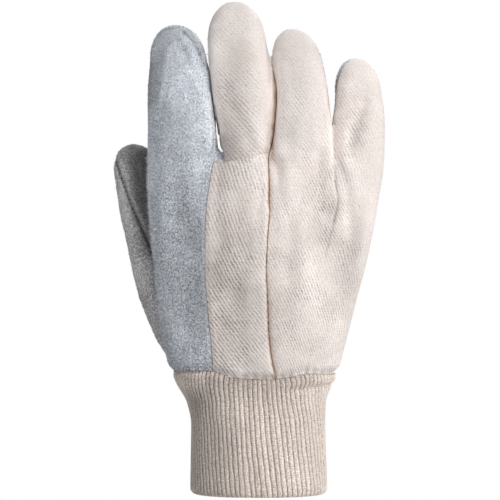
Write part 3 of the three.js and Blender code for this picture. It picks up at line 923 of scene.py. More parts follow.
# how far the seam draws the knit in, how much less on the right, and its reach
DRAWN_IN, DRAWN_LESS, DRAWN_REACH = 1.3, 0.9, 1.8
# how far the roll stands out, how far it lies below the seam, and its reach, and then the pleat
ROLL_OUT, ROLL_BELOW, ROLL_REACH = 0.9, 3.4, 2.6
PLEAT_IN, PLEAT_REACH = 1.2, 1.4
# about the height of the seam, and the share of their height that the ribs lose on the inside
SEAM_HEIGHT = 58.0
FLATTER_INSIDE = 0.7
# height, left, right, back, palm side
cuff_rows = [
    (0, -33.0, 33.3, -22.4, 22.4),
    (2.5, -34.2, 34.4, -23.4, 23.4),
    (35, -33.8, 33.5, -22.7, 22.7),
    (46, -35.9, 33.8, -22.6, 22.6),
    (55, -40.9, 36.8, -22.3, 22.3),
    (67, -46.3, 41.6, -22.6, 22.4),
]


def even_section(count):
    """Places round the wrist's section at even steps, as shares of its half width and half depth."""
    across, deep = rounded(np.linspace(0, 2 * math.pi, SECTION_POINTS), CUFF_SQUARENESS)
    steps = np.hypot(np.diff(across) * CUFF_HALF_WIDTH, np.diff(deep) * CUFF_HALF_DEPTH)
    run = np.concatenate([[0], np.cumsum(steps)])
    at = np.arange(count) / count * run[-1]
    return np.interp(at, run, across), np.interp(at, run, deep)


def knit_wrist():
    """The wrist as a grid whose rings run up its outside, down its inside and round the fold at its hem."""
    columns = RIB_COUNT * RIB_COLUMNS
    angle = np.arange(columns) / columns * 2 * math.pi
    across, deep = even_section(columns)
    close = along(crowding, across * CUFF_HALF_WIDTH)
    counted = np.cumsum(close) / close.sum() * RIB_COUNT

    def shares_at(z):
        """The section's shares, moved round so that each column of points stays on its rib."""
        over = (z - FAN_FROM + math.hypot(z - FAN_FROM, FAN_SOFTNESS)) / 2
        shift = RIB_LEAN * (z - over) + (FAN_TURN + FAN_SPREAD * across) * over
        return [np.interp(counted, counted + shift, part, period=RIB_COUNT) for part in (across, deep)]

    def ring(z, inset):
        left, right, back, front = section_at(cuff_rows, z)
        across_here, deep_here = shares_at(z.mean())
        x = (left + right) / 2 + ((right - left) / 2 - inset) * across_here
        y = (back + front) / 2 + ((front - back) / 2 - inset) * deep_here
        return x, y

    def rib(height):
        """How far a column is out on its rib, from 0 to 1, and its place counted in ribs."""
        place = counted
        for amount, often, tall, start in WAVERS:
            at = height / tall + start
            waver = [noise.noise(Vector((math.cos(a) * often, math.sin(a) * often, at))) for a in angle]
            place = place + amount * np.array(waver)
        return 1 - np.abs((place % 1) * 2 - 1) ** RIB_ROUND, place

    x_at_top = ring(np.full(columns, SEAM_HEIGHT), 0)[0]
    top = along(cuff_seam, x_at_top) - SEAM_GAP / 2
    grid = []

    def add_ring(z, wall):
        crest, place = rib(z.mean())
        on_right = ramp(x_at_top, *ON_RIGHT)
        cinch = (DRAWN_IN - DRAWN_LESS * ramp(x_at_top, *SEAM_ON_RIGHT)) * bump(z - top, DRAWN_REACH)
        cinch -= ROLL_OUT * bump(z - top + ROLL_BELOW, ROLL_REACH) * on_right
        cinch += PLEAT_IN * bump(z - along(pleat, x_at_top), PLEAT_REACH) * on_right
        outside = RIB_HEIGHT * (0.5 - crest)
        inset = outside * (1 - FLATTER_INSIDE * wall) + KNIT_WALL * wall + cinch
        grid.append(np.stack([*ring(z, inset), z, place, z], 1))

    for share in np.linspace(0, 1, OUTSIDE_ROWS):
        add_ring(HEM + (top - HEM) * share, 0)
    for share in np.linspace(1, 0, INSIDE_ROWS):
        add_ring(HEM + (top - HEM) * share, 1)
    for turn in np.radians(HEM_TURNS):
        add_ring(np.full(columns, HEM * (1 - math.sin(turn))), (1 + math.cos(turn)) / 2)
    flat = np.concatenate(grid)
    faces = list(quads(len(grid), columns, round_rows=True))
    return right_way_out(mesh_object("knit_wrist_piece", flat[:, :3], faces)), flat[:, 3:]


pieces["knit_wrist"], wrist_stitch = knit_wrist()
print("wrist:", len(pieces["knit_wrist"].data.polygons), "faces in", RIB_COUNT, "ribs")

# %% [markdown]
# ## The lie of the cloth
#
# A weave follows the cloth, not the space round it. So each cotton piece gets a UV map whose first axis
# counts millimetres across the diagonal ribs of the drill and whose second counts rows of yarn up the
# glove. Round a finger the cloth is measured along the section's curve, and the diagonal turns a little from
# place to place, as it does where the cloth is pulled.

# %% Measure the cloth
# the lowest and highest place at which the weave's climb is worked out, and how many places there are
CLOTH_HEIGHTS = (30, 270, 481)
ARC_STEPS = 16
# over this height the palm's section is no measure for the cloth, because the fingers begin
PALM_TOP = 155
# the share of a limb's half width up to which the cloth is measured along the section
SIDE_FROM = 0.96
# how each piece's cloth lies: height, the ribs' angle from the upright and how wide it is pulled, and then
# the place across from which it is counted
MIDDLE_LIE = ([(150, 44, 1.17), (260, 44, 1.17)], -8)
INNER_LIE = ([(60, 38, 1.03), (80, 38, 1.03), (140, 20, 1.13), (175, 17, 1.15)], -10)
OUTER_LIE = ([(60, 29, 1.0), (120, 27, 1.0), (150, 24, 0.88), (168, 29, 0.98), (190, 37, 1.0),
              (240, 37, 1.0)], 22)
# the ring finger's cloth ends this far to the right of the crease, and over these heights the fingers' cloth
# takes over from the palm's
CREASE_SIDE, FINGERS_BEGIN = 0.3, (178, 208)
# low on the right the ribs stand nearer to the upright: they move so far for each millimetre below a height,
# and this comes in from the left to the right place
TURN_RATE, TURN_BELOW, TURN_ACROSS = 0.26, 128, (5, 62)


def round_the_limb(points, name, highest=FAR):
    """Millimetres across a limb from the middle of its back: along its section to the side, and from there
    straight on towards the palm. Folds don't count. Above the highest place the section stays as it is."""
    x, y, z = points.T
    left, right, back, front = section_at(sections[name], np.minimum(z, highest))
    half_width, half_depth = (right - left) / 2, (front - back) / 2
    power = SQUARENESS[name]
    out_x = np.clip((x - (left + right) / 2) / half_width, -SIDE_FROM, SIDE_FROM)
    share = (np.arange(ARC_STEPS) + 0.5) / ARC_STEPS
    u = np.abs(out_x)[:, None] * share
    slope = u ** (power - 1) * (1 - u ** power) ** (1 / power - 1)
    arc = np.hypot(half_width[:, None], half_depth[:, None] * slope).mean(1) * out_x
    side_y = (back + front) / 2 - half_depth * (1 - SIDE_FROM ** power) ** (1 / power) + curl(z)
    return (left + right) / 2 + arc + np.sign(out_x) * np.clip(y - side_y, 0, None)


def diagonal(across, z, lie, middle):
    """Places across the drill's ribs and along the cloth. lie gives, for a height, the ribs' angle from the
    upright and how wide the cloth is pulled there."""
    heights, angles, widths = zip(*lie)
    grid = np.linspace(*CLOTH_HEIGHTS)
    rise = np.sin(np.radians(through(heights, angles, grid))) / through(heights, widths, grid)
    climb = np.concatenate([[0], np.cumsum((rise[1:] + rise[:-1]) / 2 * np.diff(grid))])
    here = np.radians(through(heights, angles, z))
    over = (across - middle) * np.cos(here) / through(heights, widths, z) + np.interp(z, grid, climb)
    return over, z


def cloth_of_middle(points):
    return diagonal(round_the_limb(points, "middle"), points[:, 2], *MIDDLE_LIE)


def cloth_of_inner(points):
    return diagonal(round_the_limb(points, "palm", PALM_TOP), points[:, 2], *INNER_LIE)


def cloth_of_outer(points):
    x, z = points[:, 0], points[:, 2]
    palm = round_the_limb(points, "palm", PALM_TOP)
    ring = round_the_limb(points, "ring")
    little = round_the_limb(points, "little")
    finger = np.where(x < along(crease, z) + CREASE_SIDE, ring, little)
    across = palm + (finger - palm) * ramp(z, *FINGERS_BEGIN)
    over, down = diagonal(across, z, *OUTER_LIE)
    over += TURN_RATE * np.maximum(0, TURN_BELOW - z) * ramp(x, *TURN_ACROSS)
    return over, down


def give_map(obj, name, values, turn=None):
    """A UV map from a pair of values for each point. Where it closes on itself, turn is its length."""
    layer = obj.data.uv_layers.new(name=name)
    corners = np.empty(len(obj.data.loops), dtype=np.int32)
    obj.data.loops.foreach_get("vertex_index", corners)
    at = np.asarray(values, dtype=np.float32)[corners]
    if turn:
        across = at[:, 0].reshape(-1, 4).copy()
        across[across.max(1)[:, None] - across > turn / 2] += turn
        at[:, 0] = across.ravel()
    layer.data.foreach_set("uv", at.ravel())


cloth_maps = {
    "middle_finger_back": cloth_of_middle,
    "inner_back_panel": cloth_of_inner,
    "outer_back_panel": cloth_of_outer,
}
for node, measure in cloth_maps.items():
    give_map(pieces[node], "cloth", np.stack(measure(points_of(pieces[node])), 1))
give_map(pieces["knit_wrist"], "knit", wrist_stitch, RIB_COUNT)
print("cloth measured on", ", ".join(cloth_maps))

# %% [markdown]
# ## Painted light and shade
#
# The glove's colour is made lighter and darker in soft places. This is painted light and shade: it stands
# in for shadows in creases, grooves and corners, for the shaded sides of the thumb and the wrist, and for
# lit edges. A picture could be laid over the glove, but it would also carry light and shadow. So each place
# is a soft line of a given width and strength, and the materials read the sum of all lines as a tone.

# %% Mark the soft places
# from, over and to (across, height), how far each reaches, and how much lighter it is, darker below nought:
# painted light and shade
# painted light and shade on the index leather: painted shade in the crease of the seam at the tip, painted
# light on its lit edges
leather_painted_light = [
    ((-38.4, 234.2), (-32.8, 229), (-29.7, 222.5), 0.6, -0.30),
    ((-29.7, 222.5), (-26.6, 216), (-24.8, 204), 0.6, -0.32),
    ((-38, 230), (-33.5, 223), (-31, 212), 1.6, 0.12),
    ((-26, 212), (-25, 205), (-24, 195), 2.5, 0.26),
    ((-24, 200), (-23, 190), (-21, 178), 2.2, 0.32),
    ((-45.8, 224), (-47.5, 213), (-50, 192), 1.8, 0.11),
    ((-42.4, 226), (-37.3, 216), (-30, 203), 2.4, 0.08),
    ((-44, 226), (-44, 218), (-43, 212), 6, -0.08),
    ((-37, 213), (-36, 206), (-36, 199), 3, 0.13),
    ((-38, 227), (-37, 222), (-36, 218), 2.5, -0.14),
    ((-49, 207), (-48, 202), (-47, 197), 4, -0.12),
    ((-52, 112), (-51, 100), (-49, 88), 2, 0.12),
    ((-42, 82), (-39, 77), (-37, 71), 4, 0.08),
    ((-53, 166), (-53, 161), (-53, 156), 2.5, 0.16),
    ((-53, 225), (-53, 222), (-53, 219), 2.5, 0.16),
    ((-54, 216), (-54, 208), (-54, 200), 3, -0.18),
    ((-23, 182), (-22, 172), (-23, 163), 2, 0.28),
    ((-46, 146), (-45, 141), (-44, 136), 4, 0.14),
    ((-38, 157), (-37, 151), (-36, 145), 4, -0.13),
    ((-30, 137), (-30, 131), (-30, 125), 4, -0.11),
    ((-46, 92), (-41, 87), (-38, 79), 4, 0.14),
    ((-46, 104), (-42, 90), (-38, 76), 6, -0.06),
    ((-56, 192), (-56, 165), (-54, 120), 3.4, 0.34),
    ((-47, 236), (-48, 228), (-49, 218), 5, -0.12),
    ((-41, 172), (-38, 164), (-37, 156), 5, -0.12),
    ((-52, 124), (-46, 121), (-38, 120), 5, 0.13),
    ((-30, 112), (-29, 106), (-28, 98), 5, -0.12),
    ((-27, 214), (-28, 192), (-28, 168), 8, 0.24),
    ((-41, 220), (-42, 210), (-42, 199), 6, 0.14),
    ((-44, 234), (-42, 234), (-40, 234), 5, -0.08),
    ((-37, 141), (-30, 113), (-28, 88), 8, -0.22),
    ((-51, 111), (-46, 90), (-42, 78), 5, 0.16),
    ((-34, 70), (-32, 70), (-30, 70), 6, 0.12),
]
# painted light and shade on the thumb: painted shade on its inner side next to the hand and in the seam's
# groove, painted light on the roll beside the seam
thumb_painted_light = [
    ((-60, 172), (-58.5, 152), (-56, 130), 7, -0.66),
    ((-60, 112), (-60, 104), (-59, 96), 3, -0.20),
    ((-60, 145), (-60, 141), (-59, 137), 3, 0.18),
    ((-70, 160), (-67, 132), (-61, 106), 5, 0.17),
    ((-69, 150), (-64, 122), (-58, 100), 5, 0.18),
    ((-74, 170), (-65.4, 145.5), (-56.2, 125), 0.8, -0.40),
    ((-56.2, 125), (-53, 115), (-52, 104), 0.8, -0.25),
    ((-71.5, 170), (-62.8, 145.5), (-53.6, 126), 1.1, 0.16),
    ((-72, 166), (-71, 155), (-69.5, 142), 3, 0.16),
    ((-62, 134), (-60, 130), (-58, 124), 3, 0.14),
    ((-54.5, 118), (-53, 105), (-49, 88), 1.5, -0.18),
    ((-61, 134), (-60, 131), (-59, 127), 3, 0.12),
    ((-62, 108), (-60, 102), (-56, 95), 4, -0.10),
    ((-57, 113), (-55, 103), (-50, 90), 6, 0.26),
]
# painted light and shade on the cotton: painted shade in the crease between the ring and little fingers, in
# the corner under the middle finger and in hollows, painted light beside the centre seam and on lit edges
cotton_painted_light = [
    ((-14, 247), (-13, 238), (-10, 222), 11, -0.13),
    ((1, 240), (4, 215), (4, 185), 4, -0.09),
    ((16, 232), (18, 224), (19, 210), 9, -0.15),
    ((31, 225), (31, 205), (33, 190), 4, -0.09),
    ((60, 205), (61, 180), (59, 155), 5, -0.09),
    ((46, 168), (48, 155), (46, 140), 6, 0.11),
    ((-14.5, 205), (-14, 190), (-14, 178), 4, -0.08),
    ((8.8, 222), (9.0, 200), (8.6, 176), 2.2, 0.28),
    ((-25, 238), (-24.5, 230), (-24, 222), 2.2, 0.16),
    ((-16, 184), (-15, 176), (-12, 172), 4, -0.08),
    ((17, 188), (17, 180), (17, 170), 4, -0.08),
    ((12, 140), (12, 120), (12, 110), 4, 0.05),
    ((8.5, 180), (8.5, 170), (8.5, 158), 2.5, 0.2),
    ((-15, 192), (-11, 182), (-8, 175), 5, -0.08),
    ((39, 145), (39, 138), (39, 128), 4, -0.12),
    ((47, 131), (47, 115), (46, 92), 6, -0.09),
    ((-22, 145), (-22, 138), (-22, 128), 4, 0.16),
    ((-6, 192), (-1, 186), (2, 180), 5, 0.10),
    ((23, 112), (23.5, 104), (23.5, 96), 5, 0.09),
    ((-3, 73), (1, 71), (4, 69), 4, 0.14),
    ((16, 136), (16, 128), (16, 118), 5, -0.09),
    ((38.2, 187), (37.9, 170), (38.6, 158), 0.7, -0.12),
    ((38.6, 158), (40.0, 148), (37.8, 138), 0.7, -0.34),
    ((37.8, 138), (35.2, 128), (33.6, 121), 0.8, -0.20),
    ((38, 186), (38.2, 178), (38.8, 168), 1.6, 0.3),
    ((-20, 90), (-15, 84), (-12, 78), 5, -0.08),
    ((-22, 115), (-22, 106), (-22, 98), 4, -0.08),
    ((-8, 112), (-6, 105), (-3, 99), 4, -0.08),
    ((6.5, 206), (7, 196), (6.5, 186), 2, 0.14),
    ((38.5, 193), (38.8, 187), (39, 180), 2.5, 0.12),
    ((44, 182), (41.5, 178), (40, 172), 2.5, 0.10),
    ((52.5, 192), (50, 186), (47, 177), 2.8, -0.08),
    ((46, 163), (46, 150), (45, 131), 5, 0.13),
    ((-22, 238), (-22, 228), (-22, 218), 2.5, 0.10),
    ((-7, 165), (-7, 161), (-7, 157), 2.5, 0.09),
    ((24, 121), (27, 105), (31, 88), 4, 0.07),
    ((8.4, 121), (8.4, 100), (8.4, 78), 3, -0.07),
    ((-18.3, 173), (-17.7, 170.5), (-17.3, 168.2), 0.7, -0.5),
    ((-15, 172), (-10, 172), (-6, 171), 3, -0.08),
    ((16, 182), (16, 176), (16, 168), 4, -0.09),
    ((1, 165), (1, 161), (1, 156), 2, -0.09),
    ((24, 145), (24, 141), (24, 137), 3, 0.10),
    ((-15, 115), (-14.5, 110), (-14, 105), 3, 0.08),
    ((-15, 94), (-14.5, 90), (-14, 86), 3, -0.08),
    ((-8, 74), (-7, 70), (-6, 66), 3, -0.08),
    ((-14, 205), (-11, 192), (-9, 180), 5, -0.08),
    ((8.4, 204), (8.4, 196), (8.4, 188), 2.2, 0.13),
    ((-20, 168), (-21, 160), (-22, 152), 2, 0.12),
    ((38, 104), (42, 98), (40, 88), 5, 0.09),
    ((-22, 95), (-22, 90), (-22, 85), 3, 0.11),
    ((0, 104), (1, 96), (1, 90), 3, -0.08),
    ((-7, 247), (-6, 242), (-5, 237), 4, -0.09),
    ((54, 216), (54, 212), (55, 206), 4, -0.09),
    ((24, 235), (25, 230), (27, 225), 4, -0.08),
    ((30, 75), (34, 90), (40, 110), 6, -0.05),
    ((-24, 225), (-23, 205), (-20, 184), 2.6, 0.38),
    ((-10.5, 222), (-9.5, 200), (-10.5, 177), 7, -0.14),
    ((9.5, 214), (9.5, 190), (10.5, 174), 4, 0.14),
    ((16, 169), (17, 154), (17, 141), 7, 0.16),
    ((31, 164), (32.3, 146), (31.2, 131), 5, -0.13),
    ((44, 205), (42.4, 184), (46.5, 154), 5, 0.12),
    ((44, 126), (44, 111), (41.4, 98), 7, -0.13),
    ((-16, 128), (-14.5, 103), (-13.5, 75), 11, -0.21),
    ((8.4, 98), (8.4, 83), (5.8, 70), 7, -0.12),
    ((23.6, 131), (25, 111), (28.7, 83), 6, 0.08),
]
# painted light and shade on the knit: painted shade on its left side and under the wrist's seam, where the
# hand shades it, painted light on its right
knit_painted_light = [
    ((-30, 47), (-29, 27), (-29, 1.5), 10, -0.34),
    ((-22, 55), (-4, 54), (20, 50), 5, -0.13),
    ((18, 50), (26, 49), (34, 50), 5, 0.12),
    ((10, 30), (12, 18), (14, 4), 12, 0.07),
    ((-14, 30), (-14, 18), (-14, 4), 8, -0.07),
    ((31, 50), (31.5, 30), (31.5, 3), 4, -0.10),
    ((-24, 60), (0, 58), (26, 59), 3, -0.22),
    ((-30, 54), (-30, 50), (-30, 45), 4, -0.09),
    ((-15, 60), (-11, 60), (-6, 60), 2.5, -0.13),
    ((-39, 61), (-37, 60), (-35, 59), 2.5, -0.12),
    ((-7, 42), (0, 36), (1, 28), 5, 0.08),
    ((14, 20), (18, 14), (26, 8), 4, 0.06),
    ((31, 60), (31, 55), (31, 48), 3, -0.08),
    ((-20, 34), (-17, 28), (-16, 18), 5, -0.06),
    ((16, 9), (20, 9), (24, 9), 4, 0.09),
    ((-22, 3), (-20, 2), (-16, 1), 3, -0.08),
]
# painted light on the palm leather beside the index finger's tip
palm_painted_light = [((-30, 232), (-26, 220), (-24, 205), 6, 0.40)]
# how plainly the twill shows, above or below its usual strength
twill_places = [
    ((-16, 160), (-14, 110), (-12, 75), 12, 0.50),
    ((-14, 200), (-10, 190), (-8, 175), 7, 0.05),
    ((32, 165), (33, 148), (32, 130), 5, 0.55),
    ((18, 105), (20, 85), (22, 70), 10, 0.25),
    ((50, 190), (46, 182), (42, 176), 6, 0.35),
    ((-12, 250), (-12, 240), (-12, 226), 14, -0.45),
    ((2, 232), (5, 210), (4, 185), 5, -0.4),
    ((17, 236), (17, 228), (17, 215), 12, -0.4),
    ((28, 215), (29, 195), (28, 180), 6, -0.35),
    ((50, 222), (52, 214), (54, 205), 10, -0.4),
    ((60, 195), (60, 170), (56, 140), 6, -0.4),
    ((17, 165), (18, 150), (17, 135), 7, -0.2),
    ((45, 120), (44, 105), (40, 85), 8, 0.30),
    ((-22, 110), (-18, 85), (-14, 68), 8, 0.48),
]
# how much rougher the nap or the knit looks, or smoother below nought
rough_places = [
    ((-44, 236), (-42, 215), (-42, 190), 14, -0.25),
    ((-42, 170), (-42, 150), (-40, 130), 12, 0.15),
    ((-44, 120), (-40, 95), (-36, 68), 13, 0.45),
    ((-66, 128), (-62, 108), (-56, 88), 9, 0.45),
    ((-30, 55), (-28, 30), (-28, 2), 9, 0.35),
    ((28, 50), (30, 30), (30, 2), 9, -0.18),
]
painted_light_of = {
    "palm_leather": palm_painted_light,
    "index_leather": leather_painted_light,
    "thumb_inner_leather": thumb_painted_light,
    "thumb_outer_leather": thumb_painted_light,
    "middle_finger_back": cotton_painted_light,
    "inner_back_panel": cotton_painted_light,
    "outer_back_panel": cotton_painted_light,
    "knit_wrist": knit_painted_light,
}
print("soft places:", sum(len(places) for places in painted_light_of.values()))

# %% [markdown]
# ## Where the cloth is cut
#
# A cut edge of cotton shows raw yarns. The cut faces and the cloth beside the centre seam are coloured
# brown:
# partly raw yarns, partly painted shade in the seam's slit. The edges could be painted by hand, but the mesh
# knows them: a point that lies on none of the forms was made by a cut.

# %% Give each piece its tones and edges
# the depths over which the tone, painted light and shade, fades towards the palm
HAND_FADE, THUMB_FADE = (8, 16), (40, 48)
KEY = 400009
# the brown of the cut faces away from and near the centre seam, the reach of the latter, and the reach of
# the brown rim beside that seam: raw yarns and painted shade in the seam's slit
RAW_PLAIN, RAW_SEAM, RAW_REACH, RIM_REACH = 0.4, 0.6, 2.5, 0.8
TWILL_USUAL, TWILL_LEAST, TWILL_MOST = 0.62, 0.12, 1.4


def give_value(obj, name, values):
    attribute = obj.data.attributes.new(name, "FLOAT", "POINT")
    attribute.data.foreach_set("value", values)


def kept_from(piece, *names):
    """1 at the points that a piece has kept from any of these bodies, and 0 where it was cut."""
    def keys(obj):
        """One whole number for each point, from its place in micrometres."""
        return (np.round(points_of(obj) * 1000).astype(np.int64) * (1, KEY, KEY ** 2)).sum(1)
    return np.isin(keys(piece), np.concatenate([keys(bodies[name]) for name in names])).astype(float)


for node, places in painted_light_of.items():
    piece = pieces[node]
    x, y, z = points_of(piece).T
    fade = THUMB_FADE if node.startswith("thumb") else HAND_FADE
    # the tone is painted light and shade
    give_value(piece, "tone", spread(x, z, places) * (1 - ramp(y, *fade)))
    if node in cloth_maps:
        outer_form = "panel_form" if node == "inner_back_panel" else "hand"
        cut = 1 - kept_from(piece, outer_form, "hand_room", "knuckle_room", "under_knuckle")
        away = x - along(centre_seam, z)
        raw_and_seam_shade = cut * (RAW_PLAIN + RAW_SEAM * bump(away, RAW_REACH))
        give_value(piece, "raw_and_seam_shade", np.maximum(raw_and_seam_shade, along(seam_painted_shade, z) * bump(away, RIM_REACH)))
        twill = TWILL_USUAL + spread(x, z, twill_places)
        give_value(piece, "twill", np.clip(twill, TWILL_LEAST, TWILL_MOST))
    else:
        give_value(piece, "rough", 1 + spread(x, z, rough_places))
print("tones on", ", ".join(painted_light_of))

# %% [markdown]
# ## Materials
#
# Each material is a graph, and all of them use the same few steps: sums, noise of a known grain, a colour
# between two, and the tone and bump at the end.

# %% The steps of a material
def compute(tree, operation, first, second=0.5):
    return add(tree, "ShaderNodeMath", {0: first, 1: second}, operation=operation)


def weighted(tree, *parts):
    """The sum of values, each with its weight."""
    total, *rest = [compute(tree, "MULTIPLY", value, weight) for value, weight in parts]
    for part in rest:
        total = compute(tree, "ADD", total, part)
    return total


def wave(tree, place):
    """0 at each whole number, and 1 half way between two."""
    return compute(tree, "ABSOLUTE", compute(tree, "SINE", compute(tree, "MULTIPLY", place, math.pi)))


def marked(tree, name):
    """A value that the mesh carries."""
    return add(tree, "ShaderNodeAttribute", attribute_name=name, output="Fac")


def speckle(tree, size_mm, detail=2.0, roughness=0.5):
    """Noise whose grains are about so many millimetres, from 0 to 1."""
    where = add(tree, "ShaderNodeTexCoord", output="Object")
    return add(tree, "ShaderNodeTexNoise", {"Vector": where, "Scale": 1 / (size_mm * MM), "Detail": detail,
                                            "Roughness": roughness}, output="Fac")


def fuzz(tree, *grains):
    """Noise of several grains: each has its size in millimetres, its roughness and its weight."""
    return weighted(tree, *((speckle(tree, size, 2.0, rough), weight) for size, rough, weight in grains))


def blend(tree, share, first, second):
    """A colour between two, each a triple or a socket."""
    first, second = (color if isinstance(color, bpy.types.NodeSocket) else (*color, 1)
                     for color in (first, second))
    return add(tree, "ShaderNodeMix", {0: share, 6: first, 7: second}, output=2, data_type="RGBA")


def fit(tree, value, low, high, to_low=0.0, to_high=1.0):
    return add(tree, "ShaderNodeMapRange", {"Value": value, "From Min": low, "From Max": high,
                                            "To Min": to_low, "To Max": to_high})


def connect(tree, shader, color, height, deep_mm, lightest=(0.95, 0.95, 0.95)):
    """Links colour, made lighter or darker by the tone, which is painted light and shade, and height as a
    bump so many millimetres deep.
    """
    painted_light_factor = compute(tree, "ADD", marked(tree, "tone"), 1)
    toned = add(tree, "ShaderNodeVectorMath", {0: color, "Scale": painted_light_factor}, operation="SCALE")
    bounded = add(tree, "ShaderNodeVectorMath", {0: toned, 1: lightest}, operation="MINIMUM")
    tree.links.new(bounded, shader.inputs["Base Color"])
    normal = add(tree, "ShaderNodeBump", {"Height": height, "Strength": 1.0, "Distance": deep_mm * MM},
                 output="Normal")
    tree.links.new(normal, shader.inputs["Normal"])


def roughened(tree, tone):
    """A tone whose contrast is stronger where the nap or the knit is rougher."""
    apart = compute(tree, "MULTIPLY", compute(tree, "SUBTRACT", tone, 0.5), marked(tree, "rough"))
    return compute(tree, "ADD", apart, 0.5)


# %% [markdown]
# ## Cotton drill
#
# Drill is a twill: its yarns pass over each other in steps, which draws fine slanting ribs. Every rib is
# broken by the rows of the yarns that cross it, so from near it is a slanting chain of dots. Real yarns
# would take millions of faces, so a sine across the cloth map gives the ribs and a second one the rows, and
# each dot has a shade of its own, as spun yarn is uneven.

# %% Weave the drill
TWILL_PERIOD = 1.55
ROW_PERIOD = 1.45


def cotton_drill():
    material, tree, shader = new_material("cotton_drill", 0.92, 0.12)
    cloth = add(tree, "ShaderNodeSeparateXYZ", {"Vector": add(tree, "ShaderNodeUVMap", uv_map="cloth")}).node
    drift = fit(tree, speckle(tree, 5.0), 0, 1, -0.5, 0.5)
    shake = fit(tree, speckle(tree, 1.5, 1.0), 0, 1, -0.55, 0.55)
    moved = compute(tree, "ADD", drift, shake)
    rib = compute(tree, "DIVIDE", compute(tree, "ADD", cloth.outputs["X"], moved), TWILL_PERIOD)
    row = compute(tree, "DIVIDE", compute(tree, "ADD", cloth.outputs["Y"], moved), ROW_PERIOD)
    crest, beat = wave(tree, rib), wave(tree, row)
    cell = add(tree, "ShaderNodeCombineXYZ", {"X": compute(tree, "FLOOR", compute(tree, "ADD", rib, 500.5)),
                                              "Y": compute(tree, "FLOOR", row)})
    uneven = add(tree, "ShaderNodeTexWhiteNoise", {"Vector": cell}, noise_dimensions="2D")
    pit = compute(tree, "SUBTRACT", 1.0, crest)
    for strength in (fit(tree, beat, 0, 1, 1.0, 0.45), fit(tree, uneven, 0, 1, 0.55, 1.35),
                     marked(tree, "twill"), fit(tree, speckle(tree, 12.0), 0.35, 0.6, 0.5, 1.1)):
        pit = compute(tree, "MULTIPLY", pit, strength)
    yarn = fuzz(tree, (1.0, 0.6, 0.5), (0.45, 0.7, 0.5))
    height = compute(tree, "SUBTRACT", compute(tree, "MULTIPLY", yarn, 1.3), pit)
    bright = fit(tree, yarn, 0.3, 0.7, 0.45, 1.15)
    shade = compute(tree, "ADD", bright, compute(tree, "MULTIPLY", pit, -0.95))
    cloth_color = blend(tree, shade, (0.43, 0.36, 0.33), (0.865, 0.81, 0.79))
    stain = fit(tree, speckle(tree, 14.0, 3.0), 0.38, 0.66)
    color = blend(tree, compute(tree, "MULTIPLY", stain, 0.3), cloth_color, (0.75, 0.655, 0.595))
    # brown on the cut faces and beside the centre seam: raw yarns and painted shade in the seam's slit
    color = blend(tree, marked(tree, "raw_and_seam_shade"), color, (0.46, 0.29, 0.18))
    connect(tree, shader, color, height, 0.32, (0.95, 0.892, 0.872))
    return material


drill = cotton_drill()
print("material:", drill.name)

# %% [markdown]
# ## Split leather
#
# The split is the inner side of a hide, brushed to a short nap. It has no gloss. A picture of leather would
# repeat, so the grain is noise: fine light and dark specks lie close together, and broad soft patches show
# where the nap is brushed one way or the other.

# %% Brush the leather
def split_leather(name, light, dark):
    material, tree, shader = new_material(name, 1.0, 0.25, 0.6)
    grain = fuzz(tree, (0.85, 0.6, 0.7), (0.45, 0.6, 0.3))
    patch = fit(tree, speckle(tree, 16.0, 1.0, 0.5), 0.3, 0.7)
    tone = weighted(tree, (fit(tree, grain, 0.38, 0.62), 0.85), (patch, 0.15))
    color = blend(tree, roughened(tree, tone), dark, light)
    connect(tree, shader, color, grain, 0.8)
    return material


def fibres(name, light, dark):
    """The nap's fibres: each has a shade of its own, and neighbours are a little alike."""
    material, tree, shader = new_material(name, 1.0, 0.25, 0.6)
    own = marked(tree, "shade")
    near = fit(tree, speckle(tree, 0.8, 2.0), 0.38, 0.62)
    tone = weighted(tree, (own, 0.35), (near, 0.65))
    connect(tree, shader, blend(tree, roughened(tree, tone), dark, light), own, 0.0)
    return material


index_skin = split_leather("index_split_leather", (0.74, 0.78, 0.84), (0.19, 0.205, 0.24))
palm_skin = split_leather("palm_split_leather", (0.65, 0.67, 0.71), (0.17, 0.18, 0.20))
thumb_skin = split_leather("thumb_split_leather", (0.79, 0.775, 0.785), (0.18, 0.175, 0.18))
index_fur = fibres("index_nap", (0.87, 0.91, 0.96), (0.285, 0.305, 0.345))
palm_fur = fibres("palm_nap", (0.80, 0.825, 0.865), (0.22, 0.23, 0.25))
thumb_fur = fibres("thumb_nap", (0.86, 0.84, 0.85), (0.22, 0.215, 0.22))
print("materials:", ", ".join(made.name for made in (index_skin, palm_skin, thumb_skin)), "and their fibres")

# %% [markdown]
# ## Rib knit
#
# A knitted rib is a column of stitches, each a small V. The ribs could be a bump too, but they are real
# here, so the material adds only the Vs, painted shade deep between two ribs, and a little fuzz.

# %% Knit the stitches
STITCH_HEIGHT = 1.15


